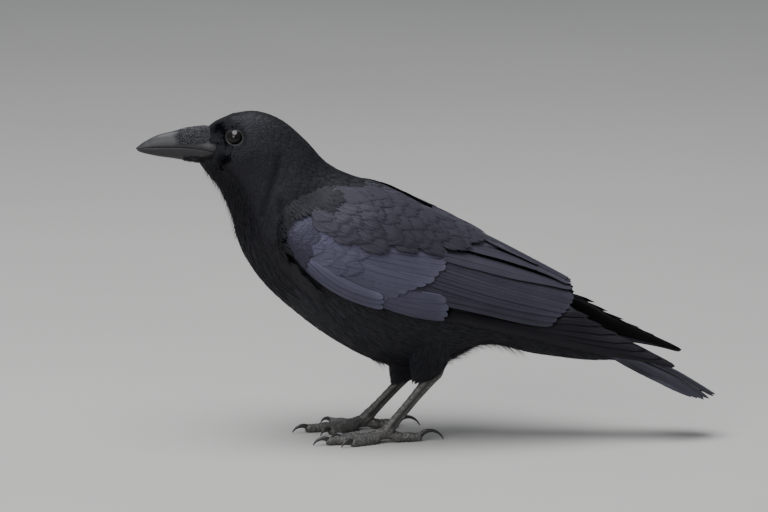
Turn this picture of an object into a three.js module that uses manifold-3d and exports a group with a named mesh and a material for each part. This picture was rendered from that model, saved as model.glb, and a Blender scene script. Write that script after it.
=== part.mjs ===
// A standing carrion crow at life size, in millimetres.
// The bird faces -X and stands on the plane z = 0, with its left side towards -Y. The origin lies on that
// plane, under the middle of the line from bill tip to tail tip.
// Plumage is modelled to the outer surface of the feathers, and each part is one closed solid.

import * as THREE from 'three';
import { LoftGeometry } from 'three/addons/geometries/LoftGeometry.js';
import { mergeVertices } from 'three/addons/utils/BufferGeometryUtils.js';
import Module from 'manifold-3d';

const wasm = await Module();
wasm.setup();

// ---- driving dimensions ----

const seam = 0.3; // clearance between neighbouring parts

// Slanted ribs of the body in the side view, each from [x, z] on the crown or back to [x, z] on the throat or
// belly. half is the half-width across the bird, and fullness above 0 puts the widest point below the middle.
const bodySquareness = 2.12;
const bodyStations = [
  { name: 'bill base', top: [-170, 246], low: [-178, 217.5], half: 6, fullness: 0.1 },
  { name: 'lores', top: [-162, 251], low: [-172, 210], half: 12.5, fullness: 0.12 },
  { name: 'eyes', top: [-147.5, 256.3], low: [-163, 199], half: 18.8, fullness: 0.12 },
  { name: 'crown', top: [-131, 257.2], low: [-156, 186], half: 22, fullness: 0.1 },
  { name: 'hind head', top: [-112.5, 250], low: [-151, 172.5], half: 24.5, fullness: 0.08 },
  { name: 'nape', top: [-94.5, 234.5], low: [-147.5, 158], half: 28.5, fullness: 0.06 },
  { name: 'neck', top: [-78.5, 217.2], low: [-141, 142.5], half: 35, fullness: 0.04 },
  { name: 'mantle', top: [-60, 207.2], low: [-126.5, 122.5], half: 42, fullness: 0.04 },
  { name: 'shoulders', top: [-33.5, 199], low: [-103.7, 101], half: 47, fullness: 0.04 },
  { name: 'back', top: [-4, 183.6], low: [-74, 79], half: 48, fullness: 0.05 },
  { name: 'loin', top: [25.5, 163], low: [-38, 61], half: 46, fullness: 0.06 },
  { name: 'flank', top: [57, 141], low: [4, 57.8], half: 38.5, fullness: 0.06 },
  { name: 'rump', top: [88, 120], low: [43, 74], half: 28.5, fullness: 0 },
  { name: 'vent', top: [113, 102], low: [85, 66.5], half: 21, fullness: 0 },
  { name: 'tail coverts', top: [136, 84], low: [122, 61.8], half: 15.5, fullness: 0 },
  { name: 'coverts end', top: [150, 72.5], low: [141, 61.2], half: 8, fullness: 0 },
];

// The bill in the same form, from its tip into the head, and the line of the mouth.
const billStations = [
  { top: [-226.4, 228.3], low: [-226.4, 227.5], half: 0.5 },
  { top: [-224.2, 230.3], low: [-223.8, 225.6], half: 1.5 },
  { top: [-218.5, 234.2], low: [-218, 223.8], half: 3.1 },
  { top: [-208.8, 238.9], low: [-208, 221.8], half: 5 },
  { top: [-196.5, 241.9], low: [-195, 220], half: 6.8 },
  { top: [-183, 244.5], low: [-182.5, 217.8], half: 8.3 },
  { top: [-171.5, 245.4], low: [-172, 217.2], half: 9.1 },
  { top: [-161, 243], low: [-162.5, 219.5], half: 9.3 },
];
const mouthLine = [[-230, 227.8], [-225, 228.4], [-209, 230], [-192, 230.3], [-181, 229.6], [-170, 227.9], [-150, 223.5]];

const eye = { x: -149, y: 12.6, z: 238.9, radius: 6.7 };

// The folded wing: [x, y, z] on its lower and upper edges, with y as the distance from the bird's middle, and
// how far the section swells outwards and inwards from the line between them.
const wingStations = [
  { low: [-108.6, 42, 165], high: [-107.8, 40.5, 172], out: 2, depth: 2 },
  { low: [-102.5, 45.5, 153], high: [-99.5, 40, 178], out: 6, depth: 7 },
  { low: [-89, 48, 137.6], high: [-80, 33, 188], out: 11.5, depth: 12 },
  { low: [-68, 49.5, 122], high: [-55.5, 24, 193], out: 17, depth: 14 },
  { low: [-40.5, 49.5, 111.2], high: [-27.5, 19, 186.5], out: 20, depth: 14 },
  { low: [-13.5, 48.5, 104], high: [0, 12, 174.5], out: 21, depth: 14 },
  { low: [12.5, 46.5, 100.8], high: [27, 8, 163], out: 18, depth: 14 },
  { low: [40, 43, 98.4], high: [53.5, 7, 150.5], out: 14, depth: 13 },
  { low: [66.5, 38.5, 95.8], high: [79.5, 8, 137], out: 10, depth: 9 },
  { low: [88, 34.5, 94.4], high: [103.5, 9, 124.3], out: 6, depth: 5.5 },
  { low: [99, 32, 95.6], high: [123.5, 10, 113.5], out: 2, depth: 2.5 },
];

// The long blade of primaries that shows below and behind the other flight feathers.
const primaryStations = [
  { low: [12, 43, 100.5], high: [26, 35, 118], out: 2.5, depth: 3 },
  { low: [41, 40, 95.5], high: [52, 30, 111], out: 2.5, depth: 3 },
  { low: [72.5, 36, 88.6], high: [83, 26, 107], out: 2.5, depth: 3 },
  { low: [104, 31, 81.2], high: [113, 21, 105], out: 2.2, depth: 2.6 },
  { low: [135, 26, 73.4], high: [139.5, 18, 88.8], out: 1.7, depth: 2 },
  { low: [166, 21, 65.3], high: [169, 16, 73.6], out: 1.1, depth: 1.3 },
  { low: [187, 18, 59.6], high: [188.5, 16.5, 62.8], out: 0.6, depth: 0.6 },
  { low: [193.2, 17.2, 57.6], high: [193.6, 17, 58.4], out: 0.3, depth: 0.3 },
];

// Each wing's primaries can be pitched up about their root, in degrees, and slid back.
const primaryPose = { left: { pitch: 0, back: 0 }, right: { pitch: 1.9, back: 5.5 } };

// Side-view lines that part the folded wing into its groups of feathers.
const covertEdge = [[60, 178], [40, 158], [24, 143], [15, 128], [12, 108], [13, 80]];
const secondaryEdge = [[0, 113], [16, 109.5], [55, 101.5], [98, 93.5], [130, 88]];
const tertialEdge = [[0, 141], [17, 139], [36, 135], [72.5, 123.5], [111, 112], [130, 107]];

// The tail's ridge in the side view, its half-width, how far its edges drop below the ridge, and its thickness.
const tailStations = [
  { ridge: [118, 88], half: 12, drop: 6, thick: 6 },
  { ridge: [138, 77], half: 16.5, drop: 9.2, thick: 5 },
  { ridge: [165, 66], half: 21.5, drop: 12, thick: 3.6 },
  { ridge: [193, 53.5], half: 25.5, drop: 10.8, thick: 2.4 },
  { ridge: [213, 41.8], half: 26.5, drop: 6, thick: 1.6 },
  { ridge: [225.8, 33.6], half: 12, drop: 3, thick: 0.8 },
];
const tailCentreHalf = 7;

// Legs. side is -1 for the left. shift moves the thigh's lower end forwards and down in the side view.
// heading turns the foot about the vertical, and splay is the angle from its middle toe to its outer toe.
const shankLength = 57.8;
const legs = {
  left: { side: -1, foot: [-30.5, -26, 11], shankAngle: 49, shift: [0, 0], heading: -13, splay: 20 },
  right: { side: 1, foot: [-49.5, 26, 9.6], shankAngle: 40.5, shift: [-16.5, -10.5], heading: -16, splay: 50 },
};
// The thigh's axis in the side view, from inside the belly down to the feathers over the heel.
const thighStations = [
  { centre: [0, 92], along: 24, across: 15, share: 0.2 },
  { centre: [2, 76], along: 19.5, across: 13, share: 0.6 },
  { centre: [1, 63], along: 15, across: 10.5, share: 0.95 },
  { centre: [-1, 53], along: 8.2, across: 7.4, share: 1 },
  { centre: [-3.5, 48.5], along: 4.6, across: 4.4, share: 1 },
];
const shankProfile = [
  { at: -0.04, along: 3.6, across: 3.4 },
  { at: 0.04, along: 4.9, across: 4 },
  { at: 0.14, along: 4, across: 3.2 },
  { at: 0.45, along: 3.3, across: 2.5 },
  { at: 0.8, along: 3.4, across: 2.7 },
  { at: 0.95, along: 4.3, across: 4 },
  { at: 1.05, along: 3.7, across: 3.7 },
];

// Toes. A turn is in degrees from the middle toe, and positive is away from the bird's middle.
const toeJoints = 3;
const toes = {
  middle: { turn: 0, length: 47.5, radius: 3.5, claw: 14, curl: 0.86 },
  hind: { turn: 180, length: 25, radius: 3.5, claw: 20, curl: 1.36 },
  inner: { turn: -25, length: 35, radius: 3.3, claw: 12, curl: 1 },
  outer: { turn: 'splay', length: 34.5, radius: 3.2, claw: 11, curl: 0.9 },
};
const clawTipHeight = 0.3;

// ---- materials ----

const materials = {
  plumage: new THREE.MeshStandardMaterial({ color: 0x1a1a1c, roughness: 0.6, metalness: 0 }),
  wingPlumage: new THREE.MeshStandardMaterial({ color: 0x22222b, roughness: 0.48, metalness: 0 }),
  bill: new THREE.MeshStandardMaterial({ color: 0x2e2d30, roughness: 0.42, metalness: 0 }),
  legs: new THREE.MeshStandardMaterial({ color: 0x2b2a2e, roughness: 0.55, metalness: 0 }),
  claws: new THREE.MeshStandardMaterial({ color: 0x1c1a1b, roughness: 0.35, metalness: 0 }),
  eye: new THREE.MeshStandardMaterial({ color: 0x120c09, roughness: 0.05, metalness: 0 }),
};

// ---- shared helpers ----

const crow = new THREE.Group();
const radians = THREE.MathUtils.degToRad;
const vec = (point) => new THREE.Vector3(...point);
const steps = (count) => Array.from({ length: count + 1 }, (_, i) => i / count);
const middle = (ring) => ring.reduce((sum, p) => sum.add(p), new THREE.Vector3()).divideScalar(ring.length);

// A closed geometry as a solid, turned outwards if its faces point in.
function toSolid(geometry) {
  const bare = new THREE.BufferGeometry().setAttribute('position', geometry.getAttribute('position'));
  bare.setIndex(geometry.index);
  const merged = mergeVertices(bare, 1e-4);
  const corners = merged.index.array;
  const faces = [];
  for (let i = 0; i < corners.length; i += 3) {
    const [a, b, c] = corners.subarray(i, i + 3);
    if (a !== b && b !== c && c !== a) faces.push([a, b, c]);
  }
  const vertProperties = merged.getAttribute('position').array;
  const build = (list) =>
    new wasm.Manifold(new wasm.Mesh({ numProp: 3, vertProperties, triVerts: Uint32Array.from(list.flat()) }));
  const made = build(faces);
  return made.volume() >= 0 ? made : build(faces.map(([a, b, c]) => [a, c, b]));
}

// A solid through a row of rings, carried on past both ends by grow.
// A loft wants its rings counter-clockwise seen from the far end, so others are reversed.
function loft(sections, grow = 0) {
  const forward = middle(sections[1]).sub(middle(sections[0]));
  const turning = new THREE.Vector3();
  sections[0].forEach((p, i, ring) => turning.add(p.clone().cross(ring[(i + 1) % ring.length])));
  const rings = turning.dot(forward) < 0 ? sections.map((ring) => [...ring].reverse()) : [...sections];
  if (grow > 0) {
    const pushed = (ring, next) => {
      const step = middle(ring).sub(middle(next)).setLength(grow);
      return ring.map((p) => p.clone().add(step));
    };
    rings[0] = pushed(rings[0], rings[1]);
    rings[rings.length - 1] = pushed(rings.at(-1), rings.at(-2));
  }
  return toSolid(new LoftGeometry(rings, { capStart: true, capEnd: true }));
}

// Adds a solid to the crow as a named mesh.
function addPart(name, solid, material) {
  const mesh = solid.getMesh();
  const geometry = new THREE.BufferGeometry();
  geometry.setAttribute('position', new THREE.BufferAttribute(Float32Array.from(mesh.vertProperties), 3));
  geometry.setIndex(new THREE.BufferAttribute(Uint32Array.from(mesh.triVerts), 1));
  geometry.computeVertexNormals();
  const part = new THREE.Mesh(geometry, material);
  part.name = name;
  crow.add(part);
}

// A ring of points round a centre. A squareness of 2 is an oval, and more is boxier.
function ovalRing(centre, up, side, count, { squareness = 2, lowFullness = 0 } = {}) {
  const shaped = (value) => Math.sign(value) * Math.abs(value) ** (2 / squareness);
  return Array.from({ length: count }, (_, i) => {
    const angle = (i / count) * 2 * Math.PI;
    const c = shaped(Math.cos(angle));
    const s = shaped(Math.sin(angle)) * (1 - lowFullness * c);
    return centre.clone().addScaledVector(up, c).addScaledVector(side, s);
  });
}

// A Catmull-Rom spline that passes each point at an equal step of t.
function spline(points, t) {
  const last = points.length - 1;
  const place = Math.min(Math.max(t, 0), 1) * last;
  const i = Math.min(Math.floor(place), last - 1);
  const w = place - i;
  const [a, b, c, d] = [-1, 0, 1, 2].map((step) => points[Math.min(Math.max(i + step, 0), last)]);
  const blend = (p, q, r, s) =>
    0.5 * (2 * q + (r - p) * w + (2 * p - 5 * q + 4 * r - s) * w ** 2 + (3 * q - p - 3 * r + s) * w ** 3);
  return new THREE.Vector3(blend(a.x, b.x, c.x, d.x), blend(a.y, b.y, c.y, d.y), blend(a.z, b.z, c.z, d.z));
}

// Reads a list of stations as one smooth curve for each named field: a number, [x, z] or [x, y, z].
function smoothFields(stations, fields) {
  const toPoint = (value) => {
    if (typeof value === 'number') return new THREE.Vector3(value, 0, 0);
    return value.length === 2 ? new THREE.Vector3(value[0], 0, value[1]) : vec(value);
  };
  const curves = {};
  for (const field of fields) {
    const points = stations.map((station) => toPoint(station[field]));
    curves[field] = (t) => spline(points, t);
  }
  return curves;
}

// A side-view outline extruded from yFrom to yTo.
function sideViewPrism(outline, yFrom, yTo) {
  const shape = new THREE.Shape(outline.map((point) => new THREE.Vector2(...point)));
  const geometry = new THREE.ExtrudeGeometry(shape, { depth: yTo - yFrom, bevelEnabled: false });
  geometry.rotateX(Math.PI / 2);
  geometry.translate(0, yTo, 0);
  geometry.setIndex([...Array(geometry.getAttribute('position').count).keys()]);
  return toSolid(geometry);
}

// A thin upright sheet along a side-view line, which parts a solid with a gap of one seam.
function knife(line, yFrom, yTo) {
  return loft(
    line.map((point, i) => {
      const before = line[Math.max(i - 1, 0)];
      const after = line[Math.min(i + 1, line.length - 1)];
      const across = new THREE.Vector2(before[1] - after[1], after[0] - before[0]).setLength(seam / 2);
      const corner = (sign, y) => new THREE.Vector3(point[0] + sign * across.x, y, point[1] + sign * across.y);
      return [corner(1, yFrom), corner(1, yTo), corner(-1, yTo), corner(-1, yFrom)];
    }),
  );
}

// ---- body: one smooth form, parted into head, neck and trunk at the end ----

const body = smoothFields(bodyStations, ['top', 'low', 'half', 'fullness']);

function ribSection(top, low, half, grow, count, shape) {
  const up = top.clone().sub(low).multiplyScalar(0.5);
  const side = new THREE.Vector3(0, half + grow, 0);
  const centre = top.clone().add(low).multiplyScalar(0.5);
  return ovalRing(centre, up.setLength(up.length() + grow), side, count, shape);
}

function bodyLoft(grow = 0) {
  const sections = steps(26).map((t) => {
    const shape = { squareness: bodySquareness, lowFullness: body.fullness(t).x };
    return ribSection(body.top(t), body.low(t), body.half(t).x, grow, 20, shape);
  });
  return loft(sections, grow);
}

const bodyGrown = bodyLoft(seam);

// ---- bill: one horn shape, split along the mouth line ----

const bill = smoothFields(billStations, ['top', 'low', 'half']);

function billLoft(grow = 0) {
  const shape = { squareness: 1.9, lowFullness: 0.1 };
  const sections = steps(10).map((t) => ribSection(bill.top(t), bill.low(t), bill.half(t).x, grow, 12, shape));
  return loft(sections, grow);
}

const overMouth = sideViewPrism([...mouthLine, [-150, 260], [-230, 260]], -15, 15);
const mouthGap = knife(mouthLine, -15, 15);
addPart('bill_upper', billLoft().intersect(overMouth).subtract(mouthGap), materials.bill);
addPart('bill_lower', billLoft().subtract(overMouth).subtract(mouthGap), materials.bill);

// ---- eyes ----

function eyeBall(side, grow = 0) {
  const ball = new THREE.SphereGeometry(eye.radius + grow, 12, 8);
  return toSolid(ball.translate(eye.x, side * eye.y, eye.z));
}

addPart('eye_left', eyeBall(-1), materials.eye);
addPart('eye_right', eyeBall(1), materials.eye);

// ---- wings: folded against the flanks ----

function wingRings(stationList, side, rows, count, grow) {
  const wing = smoothFields(stationList, ['low', 'high', 'out', 'depth']);
  return steps(rows).map((t) => {
    const low = wing.low(t);
    const high = wing.high(t);
    const up = high.clone().sub(low).multiplyScalar(0.5);
    const outward = new THREE.Vector3(0, up.z, -up.y).normalize();
    const centre = low.clone().add(high).multiplyScalar(0.5);
    return Array.from({ length: count }, (_, i) => {
      const angle = (i / count) * 2 * Math.PI;
      const swell = (Math.sin(angle) > 0 ? wing.out(t).x : wing.depth(t).x) + grow;
      const point = centre
        .clone()
        .addScaledVector(up, Math.cos(angle) * (1 + grow / up.length()))
        .addScaledVector(outward, Math.sin(angle) * swell);
      return point.setY(side * point.y);
    });
  });
}

const wingLoft = (side, grow = 0) => loft(wingRings(wingStations, side, 14, 16, grow), grow);

// The primaries as one blade, pitched up about the root of its lower edge and slid back.
function primaryBlade(side, { pitch, back }) {
  const root = vec(primaryStations[0].low).setY(0);
  const across = new THREE.Vector3(0, 1, 0);
  const pose = (p) => p.sub(root).applyAxisAngle(across, -radians(pitch)).add(root).setX(p.x + back);
  return loft(wingRings(primaryStations, side, 11, 10, 0).map((ring) => ring.map(pose)));
}

for (const [name, side] of [['left', -1], ['right', 1]]) {
  const reach = side < 0 ? [-75, 5] : [-5, 75];
  const shell = wingLoft(side).subtract(bodyGrown);
  const ahead = sideViewPrism([...covertEdge, [-150, 80], [-150, 220]], ...reach);
  const below = sideViewPrism([...secondaryEdge, [130, 40], [0, 40]], ...reach);
  const above = sideViewPrism([...tertialEdge, [130, 220], [0, 220]], ...reach);
  const covertGap = knife(covertEdge, ...reach);
  const tertialGap = knife(tertialEdge, ...reach);
  const rear = shell.subtract(ahead).subtract(covertGap).subtract(below);
  const middlePart = rear.subtract(above).subtract(tertialGap).subtract(knife(secondaryEdge, ...reach));
  const blade = primaryBlade(side, primaryPose[name]).subtract(wingLoft(side, seam).subtract(below));
  addPart(`wing_${name}_coverts`, shell.intersect(ahead).subtract(covertGap), materials.wingPlumage);
  addPart(`wing_${name}_tertials`, rear.intersect(above).subtract(tertialGap), materials.wingPlumage);
  addPart(`wing_${name}_secondaries`, middlePart, materials.wingPlumage);
  addPart(`wing_${name}_primaries`, blade.subtract(bodyGrown), materials.wingPlumage);
}

// ---- tail: a folded fan, roofed along its middle ----

const tail = smoothFields(tailStations, ['ridge', 'half', 'drop', 'thick']);

function tailSection(t) {
  const ridge = tail.ridge(t);
  const half = tail.half(t).x;
  const drop = tail.drop(t).x;
  const thick = tail.thick(t).x;
  const across = steps(10).map((w) => 2 * w - 1);
  const surface = (w, below) => {
    const rearward = ridge.x - 9 * t ** 3 * w ** 2;
    return new THREE.Vector3(rearward, half * w, ridge.z - drop * Math.abs(w) ** 1.6 - below);
  };
  const taper = (w) => thick * (1 - 0.65 * w ** 2);
  return [...across.map((w) => surface(w, 0)), ...across.map((w) => surface(w, taper(w))).reverse()];
}

const tailSolid = loft(steps(10).map(tailSection)).subtract(bodyGrown);
const tailBand = (yFrom, yTo) => {
  const size = [140, yTo - yFrom, 140];
  return toSolid(new THREE.BoxGeometry(...size).translate(175, (yFrom + yTo) / 2, 60));
};
const centreEdge = tailCentreHalf - seam / 2;
addPart('tail_left', tailSolid.intersect(tailBand(-40, -centreEdge - seam)), materials.wingPlumage);
addPart('tail_centre', tailSolid.intersect(tailBand(-centreEdge, centreEdge)), materials.wingPlumage);
addPart('tail_right', tailSolid.intersect(tailBand(centreEdge + seam, 40)), materials.wingPlumage);

// ---- legs: feathered thigh, bare shank, four toes with claws ----

function thighSolid({ side, foot, shift }) {
  const stations = thighStations.map(({ centre, along, across, share }) => ({
    centre: [centre[0] + shift[0] * share, foot[1] - side * 3 * (1 - share), centre[1] + shift[1] * share],
    along,
    across,
  }));
  const thigh = smoothFields(stations, ['centre', 'along', 'across']);
  const sections = steps(8).map((t) => {
    const forward = new THREE.Vector3(-thigh.along(t).x, 0, 0);
    const out = new THREE.Vector3(0, thigh.across(t).x, 0);
    return ovalRing(thigh.centre(t), forward, out, 12);
  });
  return loft(sections);
}

function shankSolid({ foot, shankAngle }, grow = 0) {
  const angle = radians(shankAngle);
  const down = new THREE.Vector3(-Math.cos(angle), 0, -Math.sin(angle));
  const front = new THREE.Vector3(down.z, 0, -down.x);
  const heel = vec(foot).addScaledVector(down, -shankLength);
  const shank = smoothFields(shankProfile, ['at', 'along', 'across']);
  const sections = steps(10).map((t) => {
    const centre = heel.clone().addScaledVector(down, shank.at(t).x * shankLength);
    const up = front.clone().multiplyScalar(shank.along(t).x + grow);
    const out = new THREE.Vector3(0, shank.across(t).x + grow, 0);
    return ovalRing(centre, up, out, 8);
  });
  return loft(sections, grow);
}

// The directions along a toe and across it.
function toeFrame(leg, toe) {
  const turn = radians(leg.heading + leg.side * (toe.turn === 'splay' ? leg.splay : toe.turn));
  const ahead = new THREE.Vector3(-Math.cos(turn), Math.sin(turn), 0);
  return { ahead, across: new THREE.Vector3(-ahead.y, ahead.x, 0) };
}

const toeRadius = (toe, t) => toe.radius * (1.04 - 0.2 * t);

// A toe's axis comes down from the foot joint and then runs level, low enough to flatten the sole.
function toeAxis(leg, toe, t) {
  const point = vec(leg.foot).addScaledVector(toeFrame(leg, toe).ahead, toe.length * t);
  const settled = THREE.MathUtils.smoothstep(t, 0, 0.55);
  return point.setZ(THREE.MathUtils.lerp(point.z, toeRadius(toe, t) * 0.86, settled));
}

function toeSolid(leg, toe, grow = 0) {
  const { across } = toeFrame(leg, toe);
  const sections = steps(9).map((t) => {
    const pad = 1 + 0.09 * Math.cos(2 * Math.PI * toeJoints * t);
    const end = 1 - 0.45 * THREE.MathUtils.smoothstep(t, 0.93, 1);
    const radius = toeRadius(toe, t) * pad * end + grow;
    const up = new THREE.Vector3(0, 0, radius);
    return ovalRing(toeAxis(leg, toe, t), up, across.clone().multiplyScalar(radius * 0.88), 8);
  });
  return loft(sections, grow);
}

// A claw rises from the toe's end, arches over and comes down to just above the floor.
function clawSolid(leg, toe) {
  const { ahead, across } = toeFrame(leg, toe);
  const root = toeAxis(leg, toe, 0.97).setZ(toe.radius * 1.05);
  const startAngle = radians(48 * toe.curl - 10);
  const endAngle = radians(-62);
  const bend = toe.claw / (Math.sin(startAngle) - Math.sin(endAngle));
  const arcEnd = root.z + bend * (Math.cos(endAngle) - Math.cos(startAngle));
  const sections = steps(7).map((t) => {
    const angle = THREE.MathUtils.lerp(startAngle, endAngle, t);
    const centre = root.clone().addScaledVector(ahead, bend * (Math.sin(startAngle) - Math.sin(angle)));
    centre.z += bend * (Math.cos(angle) - Math.cos(startAngle)) - (arcEnd - clawTipHeight - 0.3) * t ** 1.5;
    const radius = toe.radius * 0.66 * (1 - t) ** 0.8 + 0.28;
    const normal = ahead.clone().multiplyScalar(-Math.sin(angle)).setZ(Math.cos(angle));
    return ovalRing(centre, normal.multiplyScalar(radius), across.clone().multiplyScalar(radius * 0.78), 6);
  });
  return loft(sections);
}

const underFloor = toSolid(new THREE.BoxGeometry(400, 400, 40).translate(0, 0, -20));
for (const [side, leg] of Object.entries(legs)) {
  const shankGrown = shankSolid(leg, seam);
  addPart(`thigh_${side}`, thighSolid(leg).subtract(bodyGrown).subtract(shankGrown), materials.plumage);
  addPart(`shank_${side}`, shankSolid(leg).subtract(bodyGrown).subtract(underFloor), materials.legs);
  let taken = shankGrown.add(underFloor);
  for (const [name, toe] of Object.entries(toes)) {
    addPart(`toe_${side}_${name}`, toeSolid(leg, toe).subtract(taken), materials.legs);
    addPart(`claw_${side}_${name}`, clawSolid(leg, toe).subtract(toeSolid(leg, toe, seam)), materials.claws);
    taken = taken.add(toeSolid(leg, toe, seam));
  }
}

// ---- head, neck and trunk ----

// The line along a rib, carried on well past both of its ends.
function ribLine(stationName) {
  const { top, low } = bodyStations.find((station) => station.name === stationName);
  const beyond = (from, to) => [to[0] + (to[0] - from[0]) * 3, to[1] + (to[1] - from[1]) * 3];
  return [beyond(top, low), beyond(low, top)];
}

const headLine = ribLine('hind head');
const neckLine = ribLine('mantle');
const inFrontOf = (line) => sideViewPrism([...line, [-700, 500], [-700, -300]], -80, 80);
const headGap = knife(headLine, -80, 80);
const neckGap = knife(neckLine, -80, 80);
const bird = bodyLoft().subtract(billLoft(seam)).subtract(eyeBall(-1, seam)).subtract(eyeBall(1, seam));
const behindHead = bird.subtract(inFrontOf(headLine)).subtract(headGap);
addPart('head', bird.intersect(inFrontOf(headLine)).subtract(headGap), materials.plumage);
addPart('neck', behindHead.intersect(inFrontOf(neckLine)).subtract(neckGap), materials.plumage);
addPart('trunk', behindHead.subtract(inFrontOf(neckLine)).subtract(neckGap), materials.plumage);

export default crow;
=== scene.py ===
# A life-size carrion crow: skin, plumage, bill, eyes and legs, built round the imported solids.
# The shapes are worked out in millimetres. The bird faces -X, and its left side is towards -Y.
import math

import bpy
import numpy as np
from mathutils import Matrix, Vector
from mathutils.bvhtree import BVHTree
from mathutils.kdtree import KDTree


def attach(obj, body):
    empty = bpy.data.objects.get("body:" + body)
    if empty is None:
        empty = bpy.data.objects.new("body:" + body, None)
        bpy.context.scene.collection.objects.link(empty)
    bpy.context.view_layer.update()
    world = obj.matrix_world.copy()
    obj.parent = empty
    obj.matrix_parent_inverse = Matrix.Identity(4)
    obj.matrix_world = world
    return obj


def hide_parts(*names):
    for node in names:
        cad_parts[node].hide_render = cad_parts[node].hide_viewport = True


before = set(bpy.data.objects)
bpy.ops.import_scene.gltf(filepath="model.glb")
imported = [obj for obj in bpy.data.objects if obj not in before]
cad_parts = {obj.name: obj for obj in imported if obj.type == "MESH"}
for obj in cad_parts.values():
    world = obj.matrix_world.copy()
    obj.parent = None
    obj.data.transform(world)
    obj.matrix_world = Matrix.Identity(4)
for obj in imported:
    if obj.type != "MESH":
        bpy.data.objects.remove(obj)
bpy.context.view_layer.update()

mm = 0.001
viewTilt = math.radians(10)  # side-view lines below are measured from this far above the level
sides = {"left": -1, "right": 1}


# Small helpers.

def lerp(low, high, t):
    return low + (high - low) * t


def ramp(value, low, high):
    t = np.clip((value - low) / (high - low), 0, 1)
    return t * t * (3 - 2 * t)


def unit(vectors):
    return vectors / np.maximum(np.linalg.norm(vectors, axis=-1, keepdims=True), 1e-9)


def dot(first, second):
    return (first * second).sum(-1)


def signedPower(value, power):
    return np.sign(value) * np.abs(value) ** power


def bell(value, width):  # 1 at nought, and next to nothing beyond twice the width
    return np.exp(-((value / width) ** 2))


def spline(table, place):  # a Catmull-Rom curve that passes row k of the table at place k
    rows = np.asarray(table, float)
    last = len(rows) - 1
    place = np.clip(np.asarray(place, float), 0, last)
    i = np.minimum(place.astype(int), last - 1)
    w = (place - i)[..., None]
    a, b, c, d = (rows[np.clip(i + k, 0, last)] for k in (-1, 0, 1, 2))
    square, cube = 2 * a - 5 * b + 4 * c - d, 3 * b - a - 3 * c + d
    return 0.5 * (2 * b + (c - a) * w + square * w**2 + cube * w**3)


def seen(points):  # a point's place in the side view: x and height
    height = points[..., 2] * math.cos(viewTilt) - np.abs(points[..., 1]) * math.sin(viewTilt)
    return np.stack([points[..., 0], height], -1)


def lineHeight(line, x):  # the height of a side-view line over x
    line = np.asarray(line, float)
    return np.interp(x, line[:, 0], line[:, 1])


def lineDistance(points, line):  # distance from points to a polyline, in as many dimensions as it has
    line = np.asarray(line, float)
    nearest = np.full(points.shape[:-1], 1e9)
    for start, end in zip(line[:-1], line[1:]):
        along = end - start
        t = np.clip(dot(points - start, along) / dot(along, along), 0, 1)
        nearest = np.minimum(nearest, np.linalg.norm(points - start - t[..., None] * along, axis=-1))
    return nearest


def sideTree(places):  # finds the nearest of a grid of side-view places
    tree = KDTree(places.shape[0] * places.shape[1])
    for index, (x, height) in enumerate(places.reshape(-1, 2)):
        tree.insert((x, height, 0), index)
    tree.balance()
    return tree


# Charts: surfaces that feathers lie on.

mapMargin = 0.01  # the edge of a bake map that is left free
patchSize = 0.0015  # the share of a bake map's width that one soft feather takes


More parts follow.
